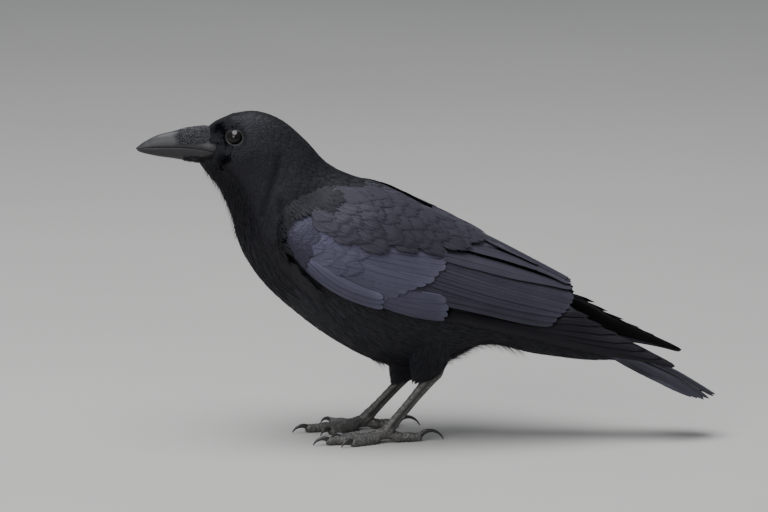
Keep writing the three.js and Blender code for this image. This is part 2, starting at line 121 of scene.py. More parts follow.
class Chart:
    # A grid of points: a runs along the lie of the feathers and b across it. flip is -1 where a mirrored
    # surface would otherwise face inwards.
    def __init__(self, points, a, b, wraps=True, flip=1):
        self.points, self.a, self.b, self.wraps, self.flip = points, a, b, wraps, flip
        self.stepA, self.stepB = a[1] - a[0], b[1] - b[0]
        self.settle()

    def settle(self):
        alongA = np.gradient(self.points, self.stepA, axis=0)
        if self.wraps:
            alongB = (np.roll(self.points, -1, 1) - np.roll(self.points, 1, 1)) / (2 * self.stepB)
        else:
            alongB = np.gradient(self.points, self.stepB, axis=1)
        normal = unit(np.cross(alongA, alongB)) * self.flip
        self.fields = np.concatenate([self.points, normal, alongA, alongB], -1)

    def sample(self, a, b):  # point, normal, and the steps for one unit of a and of b
        rows, columns = self.points.shape[:2]
        u = (a - self.a[0]) / self.stepA
        v = (b - self.b[0]) / self.stepB
        i = np.clip(np.floor(u), 0, rows - 2).astype(int)
        inU = np.clip(u - i, 0, 1)[..., None]
        if self.wraps:
            j = np.floor(v).astype(int)
            inV = (v - j)[..., None]
            j, k = j % columns, (j + 1) % columns
        else:
            j = np.clip(np.floor(v), 0, columns - 2).astype(int)
            inV = np.clip(v - j, 0, 1)[..., None]
            k = j + 1
        f = self.fields
        got = lerp(lerp(f[i, j], f[i, k], inV), lerp(f[i + 1, j], f[i + 1, k], inV), inU)
        beyond = (u - np.clip(u, 0, rows - 1))[..., None] * self.stepA
        return got[..., 0:3] + got[..., 6:9] * beyond, unit(got[..., 3:6]), got[..., 6:9], got[..., 9:12]

    def steps(self, fields, offset):  # the change of a and b that moves a point by offset along the surface
        _, _, alongA, alongB = fields
        e, f, g = dot(alongA, alongA), dot(alongA, alongB), dot(alongB, alongB)
        p, q = dot(offset, alongA), dot(offset, alongB)
        span = np.maximum(e * g - f * f, 1e-9)
        return (g * p - f * q) / span, (e * q - f * p) / span

    def bakePlace(self, a, b):  # where a root lies on an unwrap of the surface
        u = (b - self.b[0]) / (self.b[-1] - self.b[0] + (self.stepB if self.wraps else 0))
        v = (a - self.a[0]) / (self.a[-1] - self.a[0])
        if self.wraps:
            u = u % 1
        return mapMargin + (1 - 2 * mapMargin) * np.stack([np.clip(u, 0, 1), np.clip(v, 0, 1)], -1)

    def find(self, targets, fromB, toB):  # chart places that show at the given places of the side view
        jFrom, jTo = np.searchsorted(self.b, [fromB, toB])
        shown = seen(self.points[:, jFrom:jTo])
        tree = sideTree(shown)
        places = []
        for x, height in np.asarray(targets, float).reshape(-1, 2):
            index = tree.find((x, height, 0))[1]
            places.append((self.a[index // shown.shape[1]], self.b[jFrom + index % shown.shape[1]]))
        return np.array(places).reshape(np.asarray(targets).shape)

    def mirrored(self):
        return Chart(self.points * (1, -1, 1), self.a, self.b, self.wraps, -self.flip)


# Slanted ribs of the body: top x, z, low x, z, half-width and how much fuller the lower half is.
bodyRibs = [
    (-170, 246, -178, 217.5, 6, 0.1), (-162, 251, -172, 210, 12.5, 0.12),
    (-147.5, 256.3, -163, 199, 18.8, 0.12), (-131, 257.2, -156, 186, 22, 0.1),
    (-112.5, 250, -151, 172.5, 24.5, 0.08), (-94.5, 234.5, -147.5, 158, 28.5, 0.06),
    (-78.5, 217.2, -141, 142.5, 35, 0.04), (-60, 207.2, -126.5, 122.5, 42, 0.04),
    (-33.5, 199, -103.7, 101, 47, 0.04), (-4, 183.6, -74, 79, 48, 0.05), (25.5, 163, -38, 61, 46, 0.06),
    (57, 141, 4, 57.8, 38.5, 0.06), (88, 120, 43, 74, 28.5, 0), (113, 102, 85, 66.5, 21, 0),
    (136, 84, 122, 61.8, 15.5, 0), (150, 72.5, 141, 61.2, 8, 0),
]
billRibs = [
    (-226.4, 228.3, -226.4, 227.5, 0.5), (-224.2, 230.3, -223.8, 225.6, 1.5),
    (-218.5, 234.2, -218, 223.8, 3.1), (-208.8, 238.9, -208, 221.8, 5), (-196.5, 241.9, -195, 220, 6.8),
    (-183, 244.5, -182.5, 217.8, 8.3), (-171.5, 245.4, -172, 217.2, 9.1), (-161, 243, -162.5, 219.5, 9.3),
    (-152, 240, -154, 222, 9.3),
]
eye = {"x": -149, "y": 12.6, "z": 238.9, "radius": 6.7}
# Folded wing: lower edge x, y, z, upper edge x, y, z, and how far it swells outwards and inwards.
wingRibs = [
    (-108.6, 42, 165, -107.8, 40.5, 172, 2, 2), (-102.5, 45.5, 153, -99.5, 40, 178, 6, 7),
    (-89, 48, 137.6, -80, 33, 188, 11.5, 12), (-68, 49.5, 122, -55.5, 24, 193, 17, 14),
    (-40.5, 49.5, 111.2, -27.5, 19, 186.5, 20, 14), (-13.5, 48.5, 104, 0, 12, 174.5, 21, 14),
    (12.5, 46.5, 100.8, 27, 8, 163, 18, 14), (40, 43, 98.4, 53.5, 7, 150.5, 14, 13),
    (66.5, 38.5, 95.8, 79.5, 8, 137, 10, 9), (88, 34.5, 94.4, 103.5, 9, 124.3, 6, 5.5),
    (99, 32, 95.6, 123.5, 10, 113.5, 2, 2.5),
]
primaryRibs = [
    (12, 43, 100.5, 26, 35, 118, 2.5, 3), (41, 40, 95.5, 52, 30, 111, 2.5, 3),
    (72.5, 36, 88.6, 83, 26, 107, 2.5, 3), (104, 31, 81.2, 113, 21, 105, 2.2, 2.6),
    (135, 26, 73.4, 139.5, 18, 88.8, 1.7, 2), (166, 21, 65.3, 169, 16, 73.6, 1.1, 1.3),
    (187, 18, 59.6, 188.5, 16.5, 62.8, 0.6, 0.6), (193.2, 17.2, 57.6, 193.6, 17, 58.4, 0.3, 0.3),
]
rightPrimaries = {"pitch": 1.9, "back": 5.5, "root": (12, 100.5)}
# Tail: how far its edges fall back at the end, the power by which they droop, and along it the x and z of the
# ridge, the half-width and the drop.
tailShape = {"hollow": 9, "droop": 1.6}
tailRibs = [(118, 88, 12, 6), (138, 77, 16.5, 9.8), (165, 66, 21.5, 13.5), (193, 53.5, 25, 12.5),
            (213, 41.8, 25.5, 9), (225.8, 33.6, 25.5, 7)]
# One leg on each side: where its foot rests, the slope of its shank, how far its thigh is shifted, and the
# turns of its middle and outer toes.
legs = {
    "left": {"side": -1, "foot": (-32.5, -26, 7.6), "shankAngle": 51, "shift": (0, 0), "heading": -13,
             "splay": 20},
    "right": {"side": 1, "foot": (-50, 26, 6.9), "shankAngle": 47, "shift": (-16.5, -10.5), "heading": -16,
              "splay": 50},
}
shankLength = 65
thighLean = 3  # how much nearer the middle the top of a thigh is
# Thigh: centre x, z, half-sizes along and across the bird, and the share of the leg's own shift.
thighRibs = [(0, 92, 24, 15, 0.2), (2, 76, 19.5, 13, 0.6), (1, 63, 15, 10.5, 0.95), (-1, 54.5, 11.5, 8.4, 1),
             (-4, 50.5, 8, 6.4, 1)]


def ribOval(r, angles, squareness, fullness):  # outlines round ribs, by angles from their tops, and middles
    top, low = (np.stack([r[..., k], 0 * r[..., k], r[..., k + 1]], -1) for k in (0, 2))
    side = np.stack([0 * r[..., 4], r[..., 4], 0 * r[..., 4]], -1)
    c = signedPower(np.cos(angles), 2 / squareness)[..., None]
    s = signedPower(np.sin(angles), 2 / squareness)[..., None] * (1 - fullness * c)
    middle = (top + low) / 2
    return middle + (top - low) / 2 * c + side * s, middle


def wingPoints(ribs, a, b, side):  # a rounded slab between two edges, swelled outwards and inwards
    r = spline(ribs, a)[:, None]
    low, high = r[..., 0:3], r[..., 3:6]
    up = (high - low) / 2
    outward = unit(np.stack([0 * up[..., 0], up[..., 2], -up[..., 1]], -1))
    swing = np.sin(b)[None, :, None]
    swell = np.where(swing > 0, r[..., 6:7], r[..., 7:8])
    points = (low + high) / 2 + up * np.cos(b)[None, :, None] + outward * swing * swell
    return points * (1, side, 1)


def around(count):
    return np.arange(count) / count * 2 * np.pi


def bothWays(count):  # angles round a ring, positive one way and negative the other
    turns = around(count)[None, :]
    return np.where(turns > np.pi, turns - 2 * np.pi, turns)


def eyeDistance(point):  # distance from the eye's centre as seen from the side
    return np.hypot(point[..., 0] - eye["x"], point[..., 2] - eye["z"])


def onEyeSide(point):  # True on the flanks of the head, where an eye may be
    return np.abs(point[..., 1]) > 6


def poseRightPrimaries(points):  # the far wing's tip is held a little higher and further back
    x0, z0 = rightPrimaries["root"]
    angle = math.radians(rightPrimaries["pitch"])
    x, z = points[..., 0] - x0, points[..., 2] - z0
    newX = x * math.cos(angle) - z * math.sin(angle) + x0 + rightPrimaries["back"]
    return np.stack([newX, points[..., 1], x * math.sin(angle) + z * math.cos(angle) + z0], -1)


def tailPoints(a, b):
    r = spline(tailRibs, a)[:, None]
    t = (a / (len(tailRibs) - 1))[:, None]
    w = b[None, :]
    x = r[..., 0] - tailShape["hollow"] * t**3 * w**2
    return np.stack([x, r[..., 2] * w, r[..., 1] - r[..., 3] * np.abs(w) ** tailShape["droop"]], -1)


def thighPoints(leg, a, b):
    r = spline(thighRibs, a)[:, None]
    share = r[..., 4]
    x = r[..., 0] + leg["shift"][0] * share - r[..., 2] * np.cos(b)
    y = leg["foot"][1] - leg["side"] * thighLean * (1 - share) - r[..., 3] * np.sin(b)
    return np.stack([x, y, r[..., 1] + leg["shift"][1] * share + 0 * x], -1)


# Folds and swellings of the head and neck, on both sides: side-view place, spread and height.
relief = {
    "brow": ((-151, 247.5), 6, 1.9),
    "eyeHollow": ((-149.5, 234.5), 7.5, -1.2),
    "lores": ((-163, 235), 5, -1.1),
    "belowEye": ((-147, 229), 4.5, -0.7),
    "cheek": ((-146, 218), 9, 1.1),
    "earCoverts": ((-128, 222), 10, 0.7),
    "belowEar": ((-120, 200), 9, -0.7),
    "gape": ((-162, 213), 5, -0.8),
}
# Creases where the neck's feathers part: a side-view line, how wide and how deep.
creases = [
    {"line": [(-114, 217), (-117, 206), (-122, 191), (-128, 173)], "width": 2.4, "depth": 0.4},
    {"line": [(-160, 210), (-152, 204), (-144.5, 195), (-139.5, 184)], "width": 2.4, "depth": 0.4},
    {"line": [(-113, 182), (-114, 160), (-112, 146), (-104, 136)], "width": 3.2, "depth": 0.6},
]


creaseFold = {"share": 0.25, "away": 5, "width": 3.5}  # the low fold on each side of a crease
headFlank = (0.25, 0.6)  # how far a surface faces sideways where relief sets in, and where it is full


def shapeHead(chart):  # pushes the body's grid in and out by the relief and the creases
    points, normals = chart.points, chart.fields[..., 3:6]
    place = seen(points)
    outer = ramp(np.abs(normals[..., 1]), *headFlank)
    shift = np.zeros(points.shape[:2])
    for centre, spread, height in relief.values():
        distance = np.linalg.norm(place - np.array(centre), axis=-1)
        shift += height * bell(distance, spread) * outer
    for crease in creases:
        distance = lineDistance(place, crease["line"])
        shift -= crease["depth"] * bell(distance, crease["width"]) * outer
        fold = bell(distance - creaseFold["away"], creaseFold["width"])
        shift += creaseFold["share"] * crease["depth"] * fold * outer
    chart.points = points + normals * shift[..., None]
    chart.settle()


coverReach = 45  # more than the thickness of a wing


def coveredBy(chart, covers):  # the outermost of a chart and the charts that may cover it, along its normals
    trees = []
    for cover in covers:
        rows, columns = cover.points.shape[:2]
        ids = np.arange(rows * columns).reshape(rows, columns)
        nextIds = np.roll(ids, -1, 1)
        faces = np.stack([ids[:-1], nextIds[:-1], nextIds[1:], ids[1:]], -1).reshape(-1, 4)
        trees.append(BVHTree.FromPolygons(cover.points.reshape(-1, 3).tolist(), faces.tolist()))
    points, normals = chart.points.reshape(-1, 3), chart.fields[..., 3:6].reshape(-1, 3)
    depth = np.zeros(len(points))
    for index, (point, normal) in enumerate(zip(points, normals)):
        start, way = Vector(point + normal * coverReach), Vector(-normal)
        for tree in trees:
            found = tree.ray_cast(start, way, coverReach)
            if found[0] is not None:
                depth[index] = max(depth[index], coverReach - found[3])
    return depth.reshape(chart.points.shape[:2])


def softened(field, reach):  # a grid spread by a reach of cells, then blurred by the same reach
    for mix in (np.maximum, None):
        for axis in (0, 1):
            pad = [(reach, reach) if k == axis else (0, 0) for k in (0, 1)]
            wide = np.pad(field, pad, "wrap" if axis else "edge")
            parts = [np.take(wide, np.arange(k, k + field.shape[axis]), axis) for k in range(2 * reach + 1)]
            field = np.max(parts, 0) if mix else np.mean(parts, 0)
    return field


bodyA, bodyB = np.linspace(0, 15, 301), around(288) - np.pi
bodySpline = spline(bodyRibs, bodyA)[:, None]
bodyChart = Chart(ribOval(bodySpline, bodyB[None], 2.12, bodySpline[..., 5:6])[0], bodyA, bodyB)
shapeHead(bodyChart)
billA, billB = np.linspace(0, 8, 161), around(96) - np.pi
billOval = {"squareness": 1.9, "fullness": 0.1}
billChart = Chart(ribOval(spline(billRibs, billA)[:, None], billB[None], **billOval)[0], billA, billB)
wingA, wingB = np.linspace(0, 10, 201), around(128)
wingCharts = {"right": Chart(wingPoints(wingRibs, wingA, wingB, 1), wingA, wingB)}
wingCharts["left"] = wingCharts["right"].mirrored()
bladeA, bladeB = np.linspace(0, 7, 141), around(64)
bladePoints = wingPoints(primaryRibs, bladeA, bladeB, 1)
bladeCharts = {
    "right": Chart(poseRightPrimaries(bladePoints), bladeA, bladeB),
    "left": Chart(bladePoints * (1, -1, 1), bladeA, bladeB, True, -1),
}
tailA, tailB = np.linspace(0, 5, 126), np.linspace(-1, 1, 81)
tailChart = Chart(tailPoints(tailA, tailB), tailA, tailB, False)
thighA, thighB = np.linspace(0, 4, 61), around(64)
thighCharts = {name: Chart(thighPoints(leg, thighA, thighB), thighA, thighB) for name, leg in legs.items()}
wingCover = coveredBy(bodyChart, list(wingCharts.values()))
softCover = softened(wingCover, 7)
dressedChart = Chart(bodyChart.points + bodyChart.fields[..., 3:6] * softCover[..., None], bodyA, bodyB)
print("charts made")


# Meshes.

class Batch:
    # Gathers closed tubes into one mesh. Each tube is a row of rings, seen anticlockwise from its far end.
    def __init__(self):
        self.vertices, self.blocks, self.count = [], [], 0
        self.bake, self.vane, self.tone, self.lie, self.shade = [], [], [], [], []

    def add(self, points, root, across, along, tone, reverse=False, lie=None, shade=None):
        tubes, rings, corners = points.shape[:3]
        ids = self.count + np.arange(tubes * rings * corners).reshape(tubes, rings, corners)
        nextIds = np.roll(ids, -1, 2)
        walls = np.stack([ids[:, :-1], nextIds[:, :-1], nextIds[:, 1:], ids[:, 1:]], -1).reshape(-1, 4)
        ends = np.concatenate([ids[:, 0, ::-1], ids[:, -1]]).reshape(-1, corners)
        self.blocks += [block[:, ::-1] if reverse else block for block in (walls, ends)]
        self.vertices.append(points.reshape(-1, 3))
        if lie is not None:
            self.lie.append(lie.reshape(-1, 3))
        shape = (tubes, rings, corners)
        if shade is not None:
            self.shade.append(np.broadcast_to(shade, shape).ravel())
        across, along = np.broadcast_to(across, shape), np.broadcast_to(along, shape)
        patch = patchSize * np.stack([across, 2 * along - 1], -1)
        self.bake.append((root[:, None, None] + patch).reshape(-1, 2))
        self.vane.append(np.stack([0.5 + 0.5 * across, along], -1).reshape(-1, 2))
        self.tone.append(np.broadcast_to(tone[:, None, None], shape).ravel())
        self.count += tubes * rings * corners

    def triangles(self):
        return sum(len(block) * (block.shape[1] - 2) for block in self.blocks)

    def build(self, name, material, smooth=0):
        # smooth is how far shading turns from each strand's own shape to the lie of the whole coat.
        mesh = meshFrom(name, np.concatenate(self.vertices), self.blocks)
        loops = np.concatenate([block.ravel() for block in self.blocks])
        for mapName, parts in (("OFBake", self.bake), ("vane", self.vane)):
            layer = mesh.uv_layers.new(name=mapName)
            layer.data.foreach_set("uv", np.concatenate(parts)[loops].astype(np.float32).ravel())
        for key, parts in (("tone", self.tone), ("shade", self.shade)):
            if parts:
                layer = mesh.attributes.new(key, "FLOAT", "POINT")
                layer.data.foreach_set("value", np.concatenate(parts).astype(np.float32))
        if smooth and self.lie:
            own = np.empty(self.count * 3, np.float32)
            mesh.vertex_normals.foreach_get("vector", own)
            mixed = unit(lerp(own.reshape(-1, 3), np.concatenate(self.lie), smooth))
            mesh.normals_split_custom_set_from_vertices(mixed.tolist())
        print(name, "has", self.triangles(), "triangles")
        return place(mesh, material)


def meshFrom(name, vertices, blocks):  # vertices in millimetres, faces in blocks of one corner count each
    mesh = bpy.data.meshes.new(name)
    loops = np.concatenate([block.ravel() for block in blocks])
    totals = np.concatenate([np.full(len(block), block.shape[1]) for block in blocks])
    starts = np.concatenate([[0], np.cumsum(totals)[:-1]])
    mesh.vertices.add(len(vertices))
    mesh.vertices.foreach_set("co", (vertices * mm).astype(np.float32).ravel())
    mesh.loops.add(len(loops))
    mesh.loops.foreach_set("vertex_index", loops.astype(np.int32))
    mesh.polygons.add(len(totals))
    mesh.polygons.foreach_set("loop_start", starts.astype(np.int32))
    mesh.update(calc_edges=True)
    mesh.polygons.foreach_set("use_smooth", np.ones(len(totals), bool))
    return mesh


def place(mesh, material):
    piece = bpy.data.objects.new(mesh.name, mesh)
    bpy.context.scene.collection.objects.link(piece)
    mesh.materials.append(material)
    return piece


def ringMesh(name, rings, reverse=False):  # one closed tube from an array of rings, corners, xyz
    batch = Batch()
    batch.add(rings[None], np.zeros((1, 2)), 0, 0, np.zeros(1), reverse)
    return meshFrom(name, np.concatenate(batch.vertices), batch.blocks)


def shadeAndJointsMesh(mesh, values):  # stores how dark each point of a mesh is, for its material: painted shade in a shank's grooves, and the dark joints of scutes
    layer = mesh.attributes.new("shade", "FLOAT", "POINT")
    layer.data.foreach_set("value", np.asarray(values, np.float32).ravel())
    return mesh


def finishPiece(piece, nodes=()):
    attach(piece, "root")
    if nodes:
        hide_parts(*nodes)
    return piece


# Feather shapes, in millimetres along the shaft, across it and above the surface.

# Where painted shade darkens the coat, in the side view: centre, spread and strength. It shades the lores,
# behind the gape and the thigh, and dims the front of the scapulars and the shoulder.
paintedShadeParts = [((-164, 240.5), (8.5, 7.5), 1.25), ((-160, 235), (13, 11), 0.75),
              ((-159.5, 215.5), (5.5, 6), 1.25), ((-9, 56), (26, 19), 0.85), ((-58, 187), (22, 9), 0.4),
              ((-92, 185.5), (17, 12), 0.55)]
# Painted shade: near-black feathers in the lores and behind the gape: a line and how far round it they reach.
shadedPatches = [([(-172, 243), (-164, 240), (-159.5, 236), (-158, 230.5)], 3.8),
                ([(-156.5, 219), (-160, 215), (-163, 211.5)], 2.7)]
# Painted shade along the throat, in the creases and round the eye, with less of all of it on the middle line.
throatLine = [(-166, 211), (-152, 197), (-142, 182), (-136, 160)]
shadeLook = {"throat": 0.55, "throatWidth": 8, "crease": 0.6, "creaseWidth": 3, "eyeRing": 0.6,
             "eyeRadius": 8, "eyeWidth": 2.5, "middle": 0.3, "flank": (1, 7)}
fanOpen = 0.6  # the share of a fan's length at which it is fully open
bluntTip = 0.12  # the least share of its width that a strand keeps


def fanShape(rng, length, width, look):
    # A soft body feather as a fan of strands: arrays of feathers, strands, rings and 3 corners.
    strands, rings = look["strands"], look["rings"]
    n = len(length)
    q = np.linspace(0, 1, rings)[None, None, :]
    ragged = look["ragged"]
    g = np.linspace(-1, 1, strands)[None, :, None] + rng.normal(0, look["uneven"], (n, strands, 1))
    size = length[:, None, None] * (1 - look["rounded"] * g**2)
    size = size * rng.uniform(1 - ragged, 1 + ragged / 2, (n, strands, 1))
    opened = look["rootShare"] + (1 - look["rootShare"]) * np.sin(np.minimum(q / fanOpen, 1) * np.pi / 2)
    spread = opened * (1 - look["clump"] * q**1.5)
    half = width[:, None, None] / 2
    stray = rng.normal(0, look["stray"], (n, strands, 1)) * half * q**2
    middleLine = g * half * spread + stray
    strandHalf = half / strands * look["overlap"] * np.maximum(1 - q ** look["taper"], bluntTip)
    lift = rng.normal(0, look["ruffle"], (n, strands, 1))
    height = -look["depth"] * (1 - q) ** 1.5 + (look["lift"] + lift) * q**2 - look["camber"] * g**2
    ridge = strandHalf * look["roundness"]
    along = np.broadcast_to((size * q)[..., None], (n, strands, rings, 3))
    across = np.stack([middleLine + strandHalf, middleLine, middleLine - strandHalf], -1)
    heights = np.stack([height, height + ridge, height], -1)
    return along, across, heights


def laid(chart, a, b, turn, shape):
    # Lays feathers on a chart from their roots, turned from its lie, and gives their points.
    along, across, height = shape
    extra = (1,) * (along.ndim - 1)
    fields = [f.reshape((len(a),) + extra + (3,)) for f in chart.sample(a, b)]
    ahead = unit(fields[2])
    beside = np.cross(fields[1], ahead) * chart.flip
    cosine, sine = (f(turn).reshape((len(a),) + extra) for f in (np.cos, np.sin))
    forwards, sideways = along * cosine - across * sine, along * sine + across * cosine
    stepA, stepB = chart.steps(fields, ahead * forwards[..., None] + beside * sideways[..., None])
    extraShape = (len(a),) + extra
    point, normal, _, _ = chart.sample(a.reshape(extraShape) + stepA, b.reshape(extraShape) + stepB)
    return point + normal * height[..., None], normal


def shadeAt(point):  # how much painted shade darkens the coat at a place: less so on the bird's middle line
    spot = seen(point)
    x, height = spot[..., 0], spot[..., 1]
    flank = lerp(shadeLook["middle"], 1.0, ramp(np.abs(point[..., 1]), *shadeLook["flank"]))
    parts = [np.exp(-(((x - at[0]) / spread[0]) ** 2) - ((height - at[1]) / spread[1]) ** 2) * depth * flank
             for at, spread, depth in paintedShadeParts]
    parts.append(shadeLook["throat"] * bell(lineDistance(spot, throatLine), shadeLook["throatWidth"]))
    parts += [shadeLook["crease"] * bell(lineDistance(spot, crease["line"]), shadeLook["creaseWidth"])
              for crease in creases]
    away = eyeDistance(point) - shadeLook["eyeRadius"]
    parts.append(shadeLook["eyeRing"] * bell(away, shadeLook["eyeWidth"]) * onEyeSide(point))
    return np.minimum(np.max(parts, 0), 1)


def plant(batch, chart, rng, roots, look):
    # Adds feathers of one look at roots, a dictionary of a, b, turn, length, width and raised.
    a, b, turn = roots["a"], roots["b"], roots["turn"]
    along, across, height = fanShape(rng, roots["length"], roots["width"], look)
    shape = along, across, height + np.reshape(roots.get("raised", 0.0), (-1, 1, 1, 1))
    points, normals = laid(chart, a, b, turn, shape)
    along, across, _ = shape
    n, strands, rings, corners = points.shape[:4]
    extra = (n, 1, 1, 1)
    flat = (n * strands, rings, corners)
    alongShare = (along / roots["length"].reshape(extra)).reshape(flat)
    acrossShare = np.clip(across / (roots["width"].reshape(extra) / 2), -1, 1).reshape(flat)
    patch = np.repeat(chart.bakePlace(a, b), strands, 0)
    tone = np.repeat(rng.uniform(0, 1, n), strands)
    # painted shade at each strand's points
    shade = shadeAt(points[..., 1, :]).reshape(n * strands, rings, 1)
    batch.add(points.reshape(flat + (3,)), patch, acrossShare, alongShare, tone, chart.flip < 0,
              normals.reshape(flat + (3,)), shade)


def spacingRule(spacing):  # one gap, or two gaps and the places along the chart between which it changes
    if callable(spacing):
        return spacing
    low, high, start, end = spacing if isinstance(spacing, tuple) else (spacing, spacing, 0, 1)
    return lambda a, point: lerp(low, high, ramp(a, start, end))


triesPerRoot = 14


def scatter(chart, rng, span, spacing, keep=None):
    # Roots spread evenly over a span of a chart, no two nearer than their spacing.
    spacing = spacingRule(spacing)
    density = np.linalg.norm(np.cross(chart.fields[..., 6:9], chart.fields[..., 9:12]), axis=-1)
    inside = (chart.a >= span[0]) & (chart.a <= span[1])
    gridA = np.broadcast_to(chart.a[:, None], density.shape)[inside]
    gap = spacing(gridA, chart.points[inside])
    weight = (density[inside] / gap**2).ravel()
    count = int(weight.sum() * chart.stepA * chart.stepB * triesPerRoot)
    picked = rng.choice(len(weight), count, p=weight / weight.sum())
    a = gridA.ravel()[picked] + rng.uniform(-0.5, 0.5, count) * chart.stepA
    b = np.broadcast_to(chart.b[None, :], density.shape)[inside].ravel()[picked]
    b = b + rng.uniform(-0.5, 0.5, count) * chart.stepB
    point = chart.sample(a, b)[0]
    gap = spacing(a, point)
    if keep is not None:
        kept = keep(a, b, point)
        a, b, point, gap = a[kept], b[kept], point[kept], gap[kept]
    cell = gap.max()
    cells, taken = {}, []
    keys = np.floor(point / cell).astype(int)
    for i in range(len(a)):
        x, y, z = keys[i]
        near = [k for dx in (-1, 0, 1) for dy in (-1, 0, 1) for dz in (-1, 0, 1)
                for k in cells.get((x + dx, y + dy, z + dz), ())]
        if near and (((point[near] - point[i]) ** 2).sum(1) < gap[i] ** 2).any():
            continue
        cells.setdefault((x, y, z), []).append(i)
        taken.append(i)
    taken = np.array(taken)
    return a[taken], b[taken], point[taken], gap[taken]


# Materials.

class Nodes:
    # Adds nodes to a tree. Their inputs are values or the outputs of other nodes.
    def __init__(self, tree):
        self.tree = tree

    def put(self, value, socket):
        if isinstance(value, bpy.types.NodeSocket):
            self.tree.links.new(value, socket)
        else:
            socket.default_value = value

    def add(self, kind, settings=None, inputs=None):
        made = self.tree.nodes.new("ShaderNode" + kind)
        for key, value in (settings or {}).items():
            setattr(made, key, value)
        for key, value in (inputs or {}).items():
            self.put(value, made.inputs[key])
        return made

    def calc(self, operation, *values, clamp=False):
        settings = {"operation": operation, "use_clamp": clamp}
        return self.add("Math", settings, dict(enumerate(values))).outputs[0]

    def times(self, first, second, clamp=False):
        return self.calc("MULTIPLY", first, second, clamp=clamp)

    def plus(self, first, second):
        return self.calc("ADD", first, second)

    def minus(self, first, second, clamp=False):
        return self.calc("SUBTRACT", first, second, clamp=clamp)

    def timesPlus(self, first, second, third, clamp=False):
        return self.calc("MULTIPLY_ADD", first, second, third, clamp=clamp)

    def mix(self, share, first, second):
        return self.add("Mix", {"data_type": "RGBA"}, {0: share, 6: first, 7: second}).outputs[2]

    def noise(self, scale, detail, at=None):
        inputs = {"Scale": scale, "Detail": detail}
        if at is not None:
            inputs["Vector"] = at
        return self.add("TexNoise", None, inputs).outputs["Fac"]

    def cells(self, scale, at):
        return self.add("TexVoronoi", None, {"Scale": scale, "Vector": at}).outputs["Distance"]

    def joined(self, *values):
        return self.add("CombineXYZ", None, dict(enumerate(values))).outputs[0]

    def parted(self, vector):
        return self.add("SeparateXYZ", None, {0: vector}).outputs

    def stored(self, name):
        return self.add("Attribute", {"attribute_name": name}).outputs["Fac"]

    def objectPlace(self):
        return self.add("TexCoord").outputs["Object"]


def surfaceGroup(name, colours, numbers, vectors):  # a group that gives a colour, a roughness and a height
    tree = bpy.data.node_groups.new(name, "ShaderNodeTree")
    for kind, inputs in (("Color", colours), ("Float", numbers), ("Vector", vectors)):
        for key, value in inputs.items():
            socket = tree.interface.new_socket(key, in_out="INPUT", socket_type="NodeSocket" + kind)
            socket.default_value = value
    for key, kind in (("Color", "Color"), ("Roughness", "Float"), ("Height", "Float")):
        tree.interface.new_socket(key, in_out="OUTPUT", socket_type="NodeSocket" + kind)
    return Nodes(tree), tree.nodes.new("NodeGroupInput").outputs, tree.nodes.new("NodeGroupOutput").inputs


def featherGroup():
    # Barbs, shaft and pale fringe of a feather from its own map, with a tone for each feather, and painted
    # shade where the mesh stores a shade. The fringe is partly wear and partly painted sheen along the edge.
    blank = (0.01, 0.01, 0.01, 1)
    numbers = {"Fringed": 0.3, "Barbs": 40, "Slant": 0.3, "Rough": 0.5, "Vary": 0.14, "Shaft": 0,
               "Patches": 60}
    colours = {"Dark": blank, "Light": blank, "Fringe": blank}
    nodes, given, result = surfaceGroup("featherSurface", colours, numbers, {})
    vane = nodes.parted(nodes.add("UVMap", {"uv_map": "vane"}).outputs[0])
    across = nodes.calc("ABSOLUTE", nodes.minus(vane[0], 0.5))
    slanted = nodes.minus(vane[1], nodes.times(across, given["Slant"]))
    tone, shade = nodes.stored("tone"), nodes.stored("shade")
    own = nodes.times(tone, 37)  # each feather reads its own slice of the noise
    rows = nodes.joined(nodes.times(slanted, given["Barbs"]), nodes.times(vane[0], 3), own)
    barbs = nodes.noise(1.0, 2.0, rows)
    streaks = nodes.noise(1.0, 3.0, nodes.joined(nodes.times(vane[0], 9), nodes.times(slanted, 4), own))
    shaft = nodes.calc("LESS_THAN", across, nodes.times(given["Shaft"], nodes.minus(1.15, vane[1])))
    patches = nodes.noise(given["Patches"], 2.0, nodes.objectPlace())
    share = nodes.timesPlus(barbs, 0.35, nodes.plus(nodes.times(streaks, 0.35), nodes.times(tone, 0.3)))
    share = nodes.timesPlus(patches, 0.6, nodes.minus(share, 0.3), clamp=True)
    colour = nodes.mix(share, given["Dark"], given["Light"])
    # a pale fringe at the vane's rim and tip: partly wear, partly painted sheen
    edge = nodes.timesPlus(nodes.calc("MAXIMUM", nodes.times(across, 2), vane[1]), 7.0, -6.0, clamp=True)
    wornAndSheenFringe = nodes.times(nodes.times(edge, nodes.times(streaks, 1.6)), given["Fringed"], clamp=True)
    colour = nodes.mix(wornAndSheenFringe, colour, given["Fringe"])
    colour = nodes.mix(nodes.times(shaft, 0.6), colour, (0.003, 0.003, 0.0035, 1))
    # painted shade: the stored shade darkens the colour nearly to black
    nodes.put(nodes.mix(nodes.times(shade, 0.95), colour, (0.0007, 0.0007, 0.0008, 1)), result["Color"])
    rough = nodes.timesPlus(nodes.minus(share, 0.5), given["Vary"], given["Rough"])
    # painted shade also makes the surface rougher
    rough = nodes.timesPlus(shade, 0.3, rough)
    nodes.put(nodes.timesPlus(shaft, -0.1, rough), result["Roughness"])
    height = nodes.plus(nodes.times(barbs, 0.9), nodes.times(streaks, 0.5))
    nodes.put(nodes.plus(height, shaft), result["Height"])
    return nodes.tree


